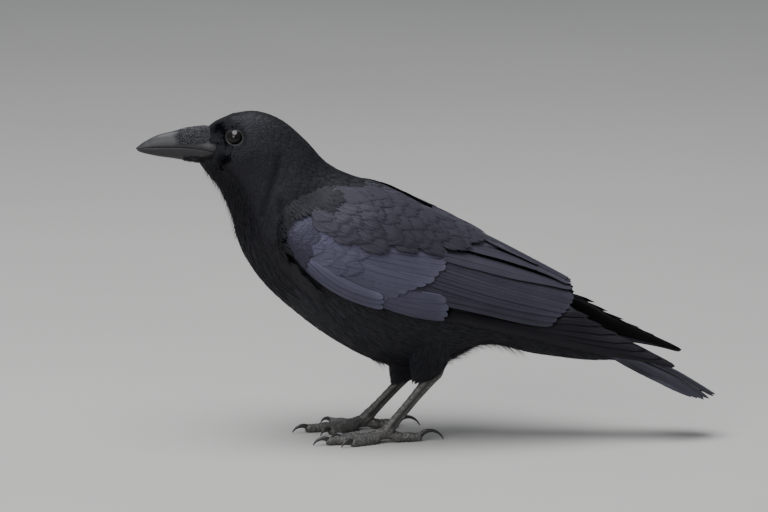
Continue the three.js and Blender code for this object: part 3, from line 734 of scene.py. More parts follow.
def hornGroup():
    # Fine growth lines along a horn, with cloudy patches, small pits, plates and dust, and a mesh's stored
    # darkening: painted shade in a shank's grooves and the dark joints of its scutes.
    colours = {"Dark": (0.02, 0.02, 0.02, 1), "Light": (0.05, 0.05, 0.05, 1), "Dust": (0.12, 0.11, 0.1, 1)}
    numbers = {"Dusty": 0.3, "Rough": 0.4, "Size": 200, "Plates": 500, "Plated": 0.0}
    nodes, given, result = surfaceGroup("hornSurface", colours, numbers, {"Stretch": (0.15, 1, 1)})
    spot = nodes.objectPlace()
    drawn = nodes.add("VectorMath", {"operation": "MULTIPLY"}, {0: spot, 1: given["Stretch"]}).outputs[0]
    lines = nodes.noise(nodes.times(given["Size"], 4), 4.0, drawn)
    clouds = nodes.noise(given["Size"], 5.0, spot)
    pits = nodes.cells(nodes.times(given["Size"], 9), spot)
    share = nodes.minus(nodes.timesPlus(lines, 0.7, nodes.times(clouds, 0.8)), 0.3, clamp=True)
    colour = nodes.mix(share, given["Dark"], given["Light"])
    drifts = nodes.timesPlus(clouds, 5.0, -2.5, clamp=True)
    specks = nodes.times(nodes.times(drifts, drifts), given["Dusty"])
    dusty = nodes.times(specks, nodes.minus(1.1, pits, clamp=True), clamp=True)
    colour = nodes.mix(dusty, colour, given["Dust"])
    gaps = nodes.timesPlus(nodes.cells(given["Plates"], spot), 3.0, -1.2, clamp=True)
    gaps = nodes.times(gaps, given["Plated"])
    # dark joints of plates, and the stored painted shade of grooves with the joints of scutes
    deep = nodes.calc("MAXIMUM", gaps, nodes.times(nodes.stored("shade"), 0.85))
    nodes.put(nodes.mix(deep, colour, (0.004, 0.004, 0.004, 1)), result["Color"])
    rough = nodes.timesPlus(clouds, 0.25, nodes.minus(given["Rough"], 0.12))
    nodes.put(nodes.timesPlus(dusty, 0.3, rough), result["Roughness"])
    height = nodes.timesPlus(lines, 0.6, nodes.times(pits, 0.4))
    nodes.put(nodes.minus(height, gaps), result["Height"])
    return nodes.tree


featherSurface = featherGroup()
hornSurface = hornGroup()


def newMaterial(name, settings):  # a material, its nodes and the inputs of its shader
    made = bpy.data.materials.new(name)
    made.use_nodes = True
    inputs = made.node_tree.nodes["Principled BSDF"].inputs
    for key, value in settings.items():
        inputs[key].default_value = value
    return made, Nodes(made.node_tree), inputs


def groupMaterial(name, group, given, settings, strength, distance):
    made, nodes, inputs = newMaterial(name, settings)
    effect = nodes.add("Group", {"node_tree": group}, given).outputs
    bumps = nodes.add("Bump", None, {"Height": effect["Height"], "Strength": strength, "Distance": distance})
    nodes.put(effect["Color"], inputs["Base Color"])
    nodes.put(effect["Roughness"], inputs["Roughness"])
    nodes.put(bumps.outputs["Normal"], inputs["Normal"])
    return made


def featherMaterial(name, dark, light, rough, barbs, gloss, sheen, level=0.35, bump=0.25, fringe=0.3,
                    slant=0.3, shaft=0.0):
    given = {"Dark": (*dark, 1), "Light": (*light, 1), "Fringe": (*[2.2 * part for part in light], 1),
             "Fringed": fringe, "Rough": rough, "Barbs": barbs, "Slant": slant, "Shaft": shaft}
    settings = {"Specular Tint": (*gloss, 1), "Specular IOR Level": level, "Sheen Weight": sheen,
                "Sheen Roughness": 0.4, "Sheen Tint": (0.55, 0.55, 0.85, 1)}
    return groupMaterial(name, featherSurface, given, settings, bump, 0.0002)


def hornMaterial(name, dark, light, level, strength, distance, **given):
    given.update(Dark=(*dark, 1), Light=(*light, 1))
    return groupMaterial(name, hornSurface, given, {"Specular IOR Level": level}, strength, distance)


bodyBlack = featherMaterial("bodyPlumage", dark=(0.007, 0.0069, 0.0073), light=(0.017, 0.0168, 0.0177),
                            rough=0.55, barbs=9, gloss=(0.85, 0.85, 1), sheen=0.03)
headBlack = featherMaterial("headPlumage", dark=(0.0058, 0.0057, 0.0063), light=(0.014, 0.0137, 0.015),
                            rough=0.52, barbs=6, gloss=(0.85, 0.84, 1), sheen=0.02, level=0.19, bump=0.15)
# a darker, duller copy of the head's plumage for the lores and behind the gape: painted shade
loresShadeBlack = featherMaterial("loresShadedPlumage", dark=(0.001, 0.001, 0.0012), light=(0.0026, 0.0026, 0.003),
                             rough=0.7, barbs=6, gloss=(0.8, 0.8, 1), sheen=0.0, level=0.06, bump=0.15)
backBlack = featherMaterial("backPlumage", dark=(0.0235, 0.0222, 0.0277), light=(0.053, 0.0497, 0.062),
                            rough=0.46, barbs=90, gloss=(0.8, 0.76, 1), sheen=0.08, level=0.42)
scapularBlack = featherMaterial("scapularPlumage", dark=(0.0115, 0.0108, 0.0138),
                                light=(0.0265, 0.0248, 0.0315), rough=0.5, barbs=60, gloss=(0.8, 0.76, 1),
                                sheen=0.06, level=0.32, slant=0.22)
# a darker copy of the wing's plumage for the bend of the wing, which catches the most light: painted shade
shoulderShadeBlack = featherMaterial("shoulderShadedPlumage", dark=(0.0135, 0.0132, 0.0188),
                                light=(0.029, 0.0283, 0.0395), rough=0.5, barbs=60, gloss=(0.7, 0.69, 1),
                                sheen=0.07, level=0.32, slant=0.22)
wingBlack = featherMaterial("wingPlumage", dark=(0.029, 0.028, 0.039), light=(0.06, 0.0578, 0.08),
                            rough=0.45, barbs=110, gloss=(0.62, 0.62, 1), sheen=0.08, level=0.45,
                            slant=0.22, fringe=0.2, shaft=0.03)
quillBlack = featherMaterial("flightPlumage", dark=(0.0145, 0.0136, 0.0182), light=(0.029, 0.0273, 0.0362),
                             rough=0.42, barbs=260, gloss=(0.78, 0.74, 1), sheen=0.05, level=0.42,
                             slant=0.12, fringe=0.2, shaft=0.03)
tipBlack = featherMaterial("primaryPlumage", dark=(0.0034, 0.0032, 0.0037), light=(0.0078, 0.0073, 0.0084),
                           rough=0.47, barbs=260, gloss=(0.88, 0.84, 1), sheen=0.02, level=0.26, slant=0.12,
                           fringe=0.2, shaft=0.03)
tailBlack = featherMaterial("tailPlumage", dark=(0.0085, 0.0081, 0.0098), light=(0.022, 0.0211, 0.025),
                            rough=0.42, barbs=260, gloss=(0.8, 0.78, 1), sheen=0.05, level=0.42, slant=0.12,
                            fringe=0.2, shaft=0.03)
bristleBlack = featherMaterial("bristles", dark=(0.009, 0.009, 0.0096), light=(0.03, 0.029, 0.032),
                               rough=0.36, barbs=3, gloss=(0.9, 0.88, 1), sheen=0.0, level=0.6, bump=0.1)
skinBlack = hornMaterial("darkSkin", dark=(0.003, 0.003, 0.0033), light=(0.008, 0.0078, 0.0085), level=0.15,
                         strength=0.4, distance=0.0004, Dusty=0.0, Rough=0.75, Stretch=(1, 1, 1))
lidSkin = hornMaterial("lidSkin", dark=(0.0024, 0.0023, 0.0026), light=(0.0075, 0.0072, 0.008), level=0.4,
                       strength=0.5, distance=0.0002, Dusty=0.0, Rough=0.5, Size=500.0, Stretch=(1, 1, 1))
billHorn = hornMaterial("billHorn", dark=(0.013, 0.0125, 0.0138), light=(0.033, 0.0315, 0.035), level=0.36,
                        strength=0.2, distance=0.0002, Dusty=0.2, Dust=(0.07, 0.067, 0.07, 1), Rough=0.42,
                        Size=260.0, Stretch=(0.25, 1, 1))
legScales = hornMaterial("legScales", dark=(0.032, 0.031, 0.031), light=(0.15, 0.143, 0.134), level=0.45,
                         strength=0.5, distance=0.0003, Dusty=0.7, Dust=(0.28, 0.262, 0.222, 1), Rough=0.5,
                         Size=300.0, Plates=620.0, Plated=0.5, Stretch=(1, 1, 1))
clawHorn = hornMaterial("clawHorn", dark=(0.01, 0.0096, 0.0098), light=(0.03, 0.0285, 0.028), level=0.5,
                        strength=0.25, distance=0.0002, Dusty=0.2, Rough=0.3, Size=300.0,
                        Stretch=(0.2, 1, 1))


# Skin, with the thighs in it and lids round the eyes.

skinLook = {"depth": 1.9, "faceDepth": 0.7, "thighDepth": 1.3, "voxel": 1.75, "softening": 4, "socket": 5.5,
            "socketRim": (6, 9), "billHalf": 7.5}
# Round the lids: distance from the eye's axis and height above the ball's centre. lean is how they tilt along
# the head and up it, squeeze how much lower than wide they are, and beaded which rings carry beads.
lidLook = {
    "profile": [(5.4, 1.6), (5.12, 3.4), (5.14, 4.4), (5.3, 4.65), (5.75, 4.55), (6.1, 4.65), (6.3, 4.95),
                (6.5, 5.05), (6.7, 4.75), (6.85, 4.1), (7.15, 3.1), (7.7, 2.0), (8.2, 1.1)],
    "lean": (0.15, -0.27), "beads": 26, "beadHeight": 0.11, "beaded": (6, 8), "corners": 0.1, "squeeze": 0.06,
    "top": 0.97, "hood": 0.25, "hoodFrom": 4, "seat": 0.45, "wall": 1.2,
}


def lidRings(side):
    # A beaded ring of bare skin that holds the eyeball, wider than high, with its apron under the feathers.
    turns = around(72)
    up = np.sin(turns)
    corners = 1 + lidLook["corners"] * np.abs(np.cos(turns)) ** 5 - lidLook["squeeze"] * up**2
    first, last = lidLook["beaded"]
    rings = []
    for index, (far, out) in enumerate(lidLook["profile"]):
        beads = lidLook["beadHeight"] * np.sin(turns * lidLook["beads"]) * (first <= index <= last)
        x = eye["x"] + far * corners * np.cos(turns)
        z = eye["z"] + far * corners * up * np.where(up > 0, lidLook["top"], 1)
        hood = lidLook["hood"] * np.maximum(up, 0) * (index >= lidLook["hoodFrom"])
        lean = lidLook["lean"][0] * (x - eye["x"]) + lidLook["lean"][1] * (z - eye["z"])
        y = side * (eye["y"] - lidLook["seat"] + out + beads + hood + lean)
        rings.append(np.stack([x, y, z], -1))
    return np.array(rings)


def lidMesh(name, side):  # the ring is closed behind by a plain inner wall
    front = lidRings(side)
    back = front[::-1] - np.array([0, side * lidLook["wall"], 0])
    back[:, :, 0] = eye["x"] + (back[:, :, 0] - eye["x"]) * 0.99
    loop = np.concatenate([front, back])  # one closed profile, swept round the eye
    rows, columns = loop.shape[:2]
    ids = np.arange(rows * columns).reshape(rows, columns)
    nextIds = np.roll(ids, -1, 1)
    faces = np.stack([ids, nextIds, np.roll(nextIds, -1, 0), np.roll(ids, -1, 0)], -1).reshape(-1, 4)
    return meshFrom("lid_" + name, loop.reshape(-1, 3), [faces[:, ::-1] if side < 0 else faces])


def joinObjects(pieces):
    bpy.ops.object.select_all(action="DESELECT")
    for piece in pieces:
        piece.select_set(True)
    bpy.context.view_layer.objects.active = pieces[0]
    bpy.ops.object.join()
    return pieces[0]


def applyModifiers(piece):
    bpy.context.view_layer.objects.active = piece
    for modifier in list(piece.modifiers):
        bpy.ops.object.modifier_apply(modifier=modifier.name)


billBase = {"front": -164.5, "slope": 0.35, "level": 222, "low": 213.5, "high": 230.5}


def underBill(points):  # 1 where the bare base of the bill lies outside the head
    spot = seen(points)
    x, height = spot[..., 0], spot[..., 1]
    ahead = x < billBase["front"] + billBase["slope"] * (height - billBase["level"])
    return (ahead & (height > billBase["low"]) & (height < billBase["high"])).astype(float)


def makeSkin():
    rows = np.linspace(0.25, 14.9, 150)
    a, b = np.meshgrid(rows, around(96) - np.pi, indexing="ij")
    point, normal, _, _ = bodyChart.sample(a, b)
    depth = lerp(skinLook["faceDepth"], skinLook["depth"], ramp(a, 1, 6))[..., None]
    parts = [ringMesh("skin", point - normal * depth)]
    for chart in thighCharts.values():
        a, b = np.meshgrid(np.linspace(0, 3.9, 30), around(32), indexing="ij")
        point, normal, _, _ = chart.sample(a, b)
        parts.append(ringMesh("thighSkin", point - normal * skinLook["thighDepth"]))
    skin = joinObjects([place(mesh, skinBlack) for mesh in parts])
    skin.data.remesh_voxel_size = skinLook["voxel"] * mm
    bpy.context.view_layer.objects.active = skin
    bpy.ops.object.voxel_remesh()
    skin.modifiers.new("soften", "SMOOTH").iterations = skinLook["softening"]
    applyModifiers(skin)
    count = len(skin.data.vertices)
    points = np.empty(count * 3, np.float32)
    skin.data.vertices.foreach_get("co", points)
    points = points.reshape(-1, 3) / mm
    sink = skinLook["socket"] * (1 - ramp(eyeDistance(points), *skinLook["socketRim"])) * onEyeSide(points)
    points[:, 1] -= np.sign(points[:, 1]) * sink
    beside = underBill(points)  # the skin passes inside the base of the bill
    width = np.abs(points[:, 1])
    inner = np.minimum(width, skinLook["billHalf"])
    points[:, 1] = np.sign(points[:, 1]) * np.where(beside > 0.5, inner, width)
    skin.data.vertices.foreach_set("co", (points * mm).astype(np.float32).ravel())
    skin.data.polygons.foreach_set("use_smooth", np.ones(len(skin.data.polygons), bool))
    skin.data.materials.clear()
    skin.data.materials.append(skinBlack)
    for name, side in sides.items():
        finishPiece(place(lidMesh(name, side), lidSkin))
    skin.name = "skin"
    finishPiece(skin, ["head", "neck", "trunk", "thigh_left", "thigh_right"])
    print("skin made with", len(skin.data.polygons), "faces")


makeSkin()


# Eyes.

eyeLook = {"iris": 4.7, "pupil": 2.5, "cornea": 4.9, "bulge": 0.6}


def turned(profile, centre, side, steps=64):  # a profile of distance from the axis and height, turned about y
    turns = around(steps)
    rings = []
    for far, out in profile:
        y = centre[1] + side * out + 0 * turns
        rings.append(np.stack([centre[0] + far * np.cos(turns), y, centre[2] + far * np.sin(turns)], -1))
    return np.array(rings)


def eyeMaterial():
    settings = {"Coat Weight": 1, "Coat Roughness": 0.02, "Coat IOR": 1.33, "Specular IOR Level": 0.05}
    made, nodes, inputs = newMaterial("eyeball", settings)
    spot = nodes.parted(nodes.objectPlace())
    x, z = nodes.minus(spot[0], eye["x"] * mm), nodes.minus(spot[2], eye["z"] * mm)
    away = nodes.calc("SQRT", nodes.plus(nodes.times(x, x), nodes.times(z, z)))
    away = nodes.calc("DIVIDE", away, eyeLook["iris"] * mm)
    rays = nodes.joined(nodes.times(nodes.calc("ARCTAN2", z, x), 9.0), nodes.times(away, 1.5))
    fibres = nodes.noise(2.0, 4.0, rays)
    brown = nodes.mix(fibres, (0.002, 0.0013, 0.001, 1), (0.009, 0.005, 0.0034, 1))
    rim = nodes.timesPlus(away, 4.0, -3.2, clamp=True)
    brown = nodes.mix(rim, brown, (0.004, 0.003, 0.003, 1))
    inPupil = nodes.timesPlus(away, -14.0, 14.0 * eyeLook["pupil"] / eyeLook["iris"], clamp=True)
    nodes.put(nodes.mix(inPupil, brown, (0.0008, 0.0008, 0.001, 1)), inputs["Base Color"])
    nodes.put(nodes.timesPlus(fibres, 0.1, 0.3), inputs["Roughness"])
    return made


def makeEyes():
    made = eyeMaterial()
    radius = eye["radius"]
    rim = math.asin(eyeLook["cornea"] / radius)
    for name, side in sides.items():
        profile = [(0.01, -radius)]
        for t in np.linspace(math.pi - 0.15, rim, 30):
            profile.append((radius * math.sin(t), radius * math.cos(t)))
        for t in np.linspace(1, 0.003, 18)[1:]:  # the clear front bulges beyond the ball
            out = radius * math.cos(rim * t) + eyeLook["bulge"] * (1 - t**2) ** 1.5
            profile.append((radius * math.sin(rim * t), out))
        rings = turned(profile, (eye["x"], side * eye["y"], eye["z"]), side)
        mesh = ringMesh("eyeball_" + name, rings, side > 0)
        finishPiece(place(mesh, made), ["eye_" + name])
    print("eyes made")


makeEyes()


# Wings: a bed under rows of closed vanes.

vaneColumns = (1, 0.95, 0.8, 0.55, 0.28, 0.07, 0, -0.07, -0.3, -0.6, -0.85, -1)
shaftWidth = 0.1  # as a share of half a vane's width
# tips are the lengths of the two sides of the rounded end, point how straight its sides are, narrow how much
# the end narrows, and tilt how proud the lower edge stands.
plainVane = {"rings": 44, "tips": (7, 7), "point": 0, "narrow": 0.1, "tilt": 0.2, "slope": 0.3, "base": 0.7,
             "camber": 0.15, "ridge": 0.2, "thick": 0.14, "notch": 0.6, "split": 0.05, "rootShare": 0.65,
             "sunk": 0}
vaneLooks = {
    "secondary": plainVane,
    "outerSecondary": dict(plainVane, tips=(8, 8), tilt=0.5, base=0.6, camber=0.2),
    "primary": dict(plainVane, tips=(15, 32), point=0.75, tilt=0.6, slope=0.4, base=0.25, camber=0.3,
                    ridge=0.3, thick=0.16, notch=0.5, rootShare=0.7),
    "tertial": dict(plainVane, tips=(13, 13), narrow=0.42, tilt=1.0, slope=0.9, base=1.9, camber=0.5,
                    ridge=0.28, thick=0.18, rootShare=0.55),
    "greaterCovert": dict(plainVane, rings=30, tips=(6.5, 6.5), tilt=0.18, slope=0.5, base=1.35, ridge=0.12,
                          thick=0.12, notch=0.9, rootShare=0.6),
    "primaryCovert": dict(plainVane, rings=26, narrow=0.25, tilt=0.26, slope=0.4, base=0.9, camber=0.2,
                          ridge=0.15, notch=0.5, split=0.04, rootShare=0.7),
    "alula": dict(plainVane, sunk=3.2, rings=28, narrow=0.25, tilt=0.85, slope=0.5, base=2.1, camber=0.3,
                  ridge=0.18, thick=0.15, notch=0.4, split=0.04, rootShare=0.7),
    "tail": dict(plainVane, point=0.5, tilt=0.25, slope=0.0, base=0.0, camber=0.35, ridge=0.34, thick=0.18,
                 split=0.06, rootShare=0.6),
}
# Where the rows of the wing start and end, as lines in the side view.
wingLines = {
    "covertLow": [(-101.5, 144), (-95, 138.5), (-79.5, 126), (-64, 115.5), (-48.5, 109), (-33, 107.5)],
    "covertHigh": [(-98.5, 169), (-79.5, 163), (-64, 155), (-48.5, 149), (-21, 145.5), (-1.5, 145.5),
                   (13.5, 142.5)],
    "covertTip": [(-33, 107.5), (-21, 112.5), (-9.4, 116), (2.3, 121), (10, 127.5), (14.8, 135.5), (14, 143)],
    "alulaRoot": [(-100, 138.5), (-96.5, 141), (-93.5, 142.5)],
    "alulaTip": [(-33.5, 103), (-33, 106.5), (-33, 110)],
    "primaryCovertRoot": [(-43, 106.5), (-38, 114.5)],
    "primaryCovertTip": [(13.5, 91.5), (16, 95.5), (16.5, 100.5), (14.5, 106)],
    "secondaryRoot": [(-33, 119), (-29, 136.5), (-22.5, 150.5)],
    "secondaryTip": [(98.5, 87), (102, 90.5), (106, 93.5), (109, 97.5), (111.5, 100.5), (113, 104.5),
                     (114, 107.5)],
    "tertialRoot": [(-14, 146), (2, 157), (16, 164)],
    "tertialTip": [(112.5, 114.5), (113, 119), (88, 134)],
    "farTertialTip": (113, 124),
    "primaryRoot": [(12.5, 93.5), (12.5, 106.5)],
    "primaryTip": [(136.5, 67.5), (160, 62.5), (178, 58.5), (193.5, 54.5), (183.5, 60.5), (172.5, 67),
                   (160, 73.5), (149, 80), (138, 87), (127, 95)],
}
greaterCoverts = 10
wingLimits = (-0.9, math.pi - 0.12)  # how far round a wing its vanes may reach
bedLook = {"depth": 1.3, "drawnIn": 0.16, "bladeShare": 0.78}


def alongLine(line, share):  # points at shares of a side-view line, from its first point to its last
    line = np.asarray(line, float)
    return spline(line, np.asarray(share) * (len(line) - 1))


def pathBetween(chart, start, end, sag):
    # The chart places of a shaft that is seen to run from start to end, as smooth curves of a and b.
    t = np.linspace(0, 1, 11)[:, None]
    shown = lerp(np.asarray(start, float), np.asarray(end, float), t)
    shown[:, 1:] -= sag * 4 * t * (1 - t)
    found = chart.find(shown, 0.12, math.pi - 0.1)
    return [np.polyfit(t[:, 0], found[:, k], 3) for k in (0, 1)]


vaneWear = {"round": 0.985, "waves": 9, "wave": 0.03, "ripples": 0.9, "ripple": 0.05, "uneven": 0.06,
            "sinkReach": 0.07}


def layVane(batch, chart, rng, path, look, low, high, limits, rise):
    # A closed vane along a path of chart places; low and high are its widths on either side of the shaft.
    top = np.array(vaneColumns)
    v = np.concatenate([top, top[::-1][1:-1]])[None, :]
    isTop = (np.arange(v.shape[1]) < len(top))[None, :]
    s = (1 - (1 - np.linspace(0, 1, look["rings"])) ** 1.4)[:, None]
    spine = chart.sample(*(np.polyval(curve, s[:, 0]) for curve in path))[0]
    length = np.linalg.norm(np.diff(spine, axis=0), axis=1).sum()
    ragged = rng.uniform(0, look["notch"], len(top))
    ragged = np.concatenate([ragged, ragged[::-1][1:-1]])[None, :]
    end = lerp(1 - np.sqrt(1 - (vaneWear["round"] * v) ** 2), np.abs(v), look["point"])
    back = np.where(v > 0, *look["tips"]) * end + ragged
    t = s - back / length * s**3
    a, b = (np.polyval(curve, t) for curve in path)
    fields = chart.sample(a, b)
    stepPath = [np.polyval(np.polyder(curve), t)[..., None] for curve in path]
    ahead = unit(fields[2] * stepPath[0] + fields[3] * stepPath[1])
    beside = np.cross(fields[1], ahead) * chart.flip
    half = np.where(v > 0, low, high)
    growth = look["rootShare"] + (1 - look["rootShare"]) * ramp(s, 0, 0.4)
    growth = growth * (1 - look["narrow"] * ramp(s, 0.5, 1))
    for side in (-1, 1):  # small splits in each edge
        for middle in rng.uniform(0.3, 0.95, 3):
            outer = (v * side > 0.3) * np.abs(v)
            growth = growth - look["split"] * rng.uniform(0.3, 1) * bell(s - middle, 0.012) * outer
    wave = 1 + vaneWear["wave"] * np.sin(s * vaneWear["waves"] + rng.uniform(0, 6))
    offset = beside * (v * half * growth * wave)[..., None]
    stepA, stepB = chart.steps(fields, offset)
    newB = b + stepB
    held = np.clip(newB, *limits)
    point, normal, _, alongB = chart.sample(a + stepA, held)
    point = point + alongB * (newB - held)[..., None]
    sunk = look["sunk"] * np.exp(-s / vaneWear["sinkReach"])
    height = look["base"] + rise - sunk + look["tilt"] * v + look["slope"] * (s - 0.6) - look["camber"] * v**2
    height = height + look["ridge"] * bell(v, shaftWidth) * (1 - 0.8 * s)
    height = height + vaneWear["ripple"] * np.sin(s * length * vaneWear["ripples"] + v * 2.0) * (1 - v**2)
    height = height + rng.normal(0, vaneWear["uneven"]) * v * s
    keel = look["ridge"] * 0.8 * bell(v, shaftWidth) * (1 - s)
    height = np.where(isTop, height, height - look["thick"] - keel)
    points = point + normal * height[..., None]
    root = np.zeros((1, 2))  # unwrapVanes gives each vane its place on the bake map
    batch.add(points[None], root, np.clip(v, -1, 1), np.clip(t, 0, 1), rng.uniform(0, 1, 1), chart.flip < 0)


def unwrapVanes(piece, rings):  # gives each vane of a piece its own strip of the OFBake map
    corners = 2 * len(vaneColumns) - 2
    layer = piece.data.uv_layers["OFBake"]
    loops = np.empty(len(piece.data.loops), np.int32)
    piece.data.loops.foreach_get("vertex_index", loops)
    starts = np.cumsum([0] + list(rings)) * corners
    which = np.searchsorted(starts, loops, side="right") - 1
    inside = loops - starts[which]
    ring, corner = inside // corners, inside % corners
    count = len(rings)
    columns = int(math.ceil(math.sqrt(count)))
    u = (which % columns + 0.06 + 0.88 * corner / (corners - 1)) / columns
    v = (which // columns + 0.04 + 0.92 * ring / (np.array(rings)[which] - 1)) / math.ceil(count / columns)
    layer.data.foreach_set("uv", np.stack([u, v], -1).astype(np.float32).ravel())


def covertPlace(f, s):  # places on the patch of the greater coverts: f up the wing and s along it
    low, high = (alongLine(wingLines[key], s) for key in ("covertLow", "covertHigh"))
    return lerp(low, high, np.asarray(f)[..., None])


def spacedRoot(kind, k):  # the root of one feather of a row, by its place among the row's tips
    return alongLine(wingLines[kind + "Root"], k / (len(wingLines[kind + "Tip"]) - 1))


def wingRows(name):  # every long feather of a wing: its piece, chart, look, path, widths and rise
    finder = {"wing": wingCharts["left"], "blade": bladeCharts["left"]}
    rows = []

    def add(piece, kind, root, tip, sag, low, high, rise):
        chart = "blade" if piece == "primaries" else "wing"
        rows.append({"piece": piece, "chart": chart, "look": vaneLooks[kind], "low": low, "high": high,
                     "rise": rise, "path": pathBetween(finder[chart], root, tip, sag)})

    for k, tip in enumerate(wingLines["primaryTip"]):
        add("primaries", "primary", spacedRoot("primary", k), tip, sag=1.5, low=3.4, high=6.5, rise=0.1 * k)
    for k, tip in enumerate(wingLines["secondaryTip"]):
        kind = "outerSecondary" if k < 3 else "secondary"
        high = 9.5 - 0.9 * max(k - 3, 0)
        add("secondaries", kind, spacedRoot("secondary", k), tip, sag=2.2 - 0.2 * k, low=3.2, high=high,
            rise=0.08 * k)
    for k, (low, high, sag) in enumerate([(5.6, 9, -1), (5.4, 6.5, -2), (5, 6, 0)]):
        tip = wingLines["farTertialTip"] if k == 2 and name == "right" else wingLines["tertialTip"][k]
        add("tertials", "tertial", wingLines["tertialRoot"][k], tip, sag, low, high, 0.5 * k)
    for k, tip in enumerate(wingLines["primaryCovertTip"]):
        add("coverts", "primaryCovert", spacedRoot("primaryCovert", k), tip, sag=1.5, low=3.2, high=6,
            rise=0.08 * k)
    for k, tip in enumerate(wingLines["alulaTip"]):
        add("coverts", "alula", wingLines["alulaRoot"][k], tip, sag=6.5, low=2.8, high=3.6, rise=0.5 * k)
    for k in range(greaterCoverts):
        f = (k + 0.5) / greaterCoverts
        tip = alongLine(wingLines["covertTip"], f) + (0.8 * (k % 2), 0)
        add("coverts", "greaterCovert", covertPlace(f, 0.36), tip, sag=2.5 - 0.25 * k, low=4.2, high=7.5,
            rise=0.06 * k)
    return rows


def makeBeds(name):  # the dark flesh that shows in the gaps between a wing's feathers; its near-black is partly painted shade for those gaps
    a, b = np.meshgrid(np.linspace(0.2, 9.5, 60), around(48), indexing="ij")
    point, normal, _, _ = wingCharts[name].sample(a, b)
    point = point - normal * bedLook["depth"]
    upper = point[:, :1]
    point = upper + (point - upper) * (1 - bedLook["drawnIn"] * ramp(a, 3.5, 6.5))[..., None]
    bed = ringMesh("wingBed_" + name, point, wingCharts[name].flip > 0)
    finishPiece(place(bed, skinBlack))
    a, b = np.meshgrid(np.linspace(0.1, 6.0, 40), around(24), indexing="ij")
    point = bladeCharts[name].sample(a, b)[0]
    centre = point.mean(1, keepdims=True)
    point = centre + (point - centre) * bedLook["bladeShare"]
    bed = ringMesh("bladeBed_" + name, point, bladeCharts[name].flip > 0)
    finishPiece(place(bed, skinBlack))


def makeWings():
    finishes = {"primaries": tipBlack, "secondaries": quillBlack, "tertials": quillBlack,
                "coverts": wingBlack}
    for name in sides:
        rows = wingRows(name)
        charts = {"wing": wingCharts[name], "blade": bladeCharts[name]}
        for piece, finish in finishes.items():
            rng = np.random.default_rng(len(piece) + len(name))
            batch = Batch()
            chosen = [row for row in rows if row["piece"] == piece]
            for row in chosen:
                layVane(batch, charts[row["chart"]], rng, row["path"], row["look"], row["low"], row["high"],
                        wingLimits, row["rise"])
            made = batch.build(f"{piece}_{name}", finish)
            unwrapVanes(made, [row["look"]["rings"] for row in chosen])
            finishPiece(made, [f"wing_{name}_{piece}"])
        makeBeds(name)
    print("wings made")


makeWings()


# Tail.

# For each tail feather from the middle outwards: where its shaft starts and ends, and how deep it lies.
tailLook = {"rootY": (1, 2.5, 4.4, 5.8, 7.4, 8.8), "tipY": (2.5, 6, 11, 15, 18.5, 21.5),
            "end": (5.0, 4.88, 4.7, 4.46, 4.12, 3.8), "depth": (0, 0.7, 2.1, 2.9, 2.7, 2.2), "start": 0.5,
            "outer": (3.6, 2.6, 3.4, 4.0, 4.0, 4.2), "inner": (6.5, 6.5, 2.6, 6.5, 6.5, 6.5),
            "tilt": (1, 1, 2.4, 1, 1, 1), "outerTip": (16, 16, 18, 22, 26, 30), "innerTip": 13,
            "rootHalf": 16.5, "tipHalf": 25.5}


def makeTail():
    rng = np.random.default_rng(5)
    groups = {"left": [], "centre": [], "right": []}
    for k in range(5, -1, -1):
        for side in (-1, 1):
            group = "centre" if k < 2 else ("left" if side < 0 else "right")
            groups[group].append((k, side))
    for group, feathers in groups.items():
        batch = Batch()
        for k, side in feathers:
            rootB = side * tailLook["rootY"][k] / tailLook["rootHalf"]
            tipB = side * tailLook["tipY"][k] / tailLook["tipHalf"]
            start = tailLook["start"]
            path = [np.array([tailLook["end"][k] - start, start]), np.array([tipB - rootB, rootB])]
            look = dict(vaneLooks["tail"])
            look["tilt"] = look["tilt"] * side * -tailLook["tilt"][k]
            look["tips"] = (tailLook["innerTip"], tailLook["outerTip"][k])[::-side]
            outer, inner = tailLook["outer"][k], tailLook["inner"][k]
            low, high = (outer, inner) if side > 0 else (inner, outer)
            layVane(batch, tailChart, rng, path, look, low, high, (-1, 1), -tailLook["depth"][k])
        made = batch.build("rectrices_" + group, tailBlack)
        unwrapVanes(made, [vaneLooks["tail"]["rings"]] * len(feathers))
        finishPiece(made, ["tail_" + group])
    print("tail made")


makeTail()


# Coat of the head, neck and body.

# In a fan: how round its end is, how wide its root, how its strands clump, stray, overlap, taper, ruffle and
# lift, how deep its root lies, and smooth, how far its shading follows the whole coat. A fixed fan has its
# size in millimetres.
headFan = {"strands": 8, "rings": 4, "rounded": 0.35, "rootShare": 0.5, "clump": 0.08, "stray": 0.03,
           "overlap": 1.7, "taper": 3, "ruffle": 0.025, "depth": 0.45, "lift": 0.06, "camber": 0.08,
           "roundness": 0.22, "ragged": 0.14, "uneven": 0.12, "smooth": 0.75, "fixed": False}
napeFan = dict(headFan, strands=11, rings=5, ruffle=0.04, lift=0.1, depth=0.7, smooth=0.78)
throatFan = dict(headFan, strands=9, rings=5, clump=0.75, rootShare=0.6, ruffle=0.2, lift=0.6, depth=1.1,
                 roundness=0.28, smooth=0.4)
breastFan = dict(headFan, strands=13, rings=5, clump=0.1, rounded=0.4, ruffle=0.15, lift=0.4, depth=1.5,
                 stray=0.07, smooth=0.4)
fluffFan = dict(breastFan, clump=0.45, ruffle=0.7, lift=1.8, stray=0.14, smooth=0.2, fixed=True)
thighFan = dict(headFan, strands=9, rings=5, clump=0.2, ruffle=0.15, lift=0.4, depth=1.3, smooth=0.4)
backFan = dict(headFan, strands=21, rings=5, rounded=0.45, ruffle=0.05, lift=0.25, depth=1.0, stray=0.02,
               overlap=1.9, roundness=0.12, camber=0.3, ragged=0.1, uneven=0.04, smooth=0.5)
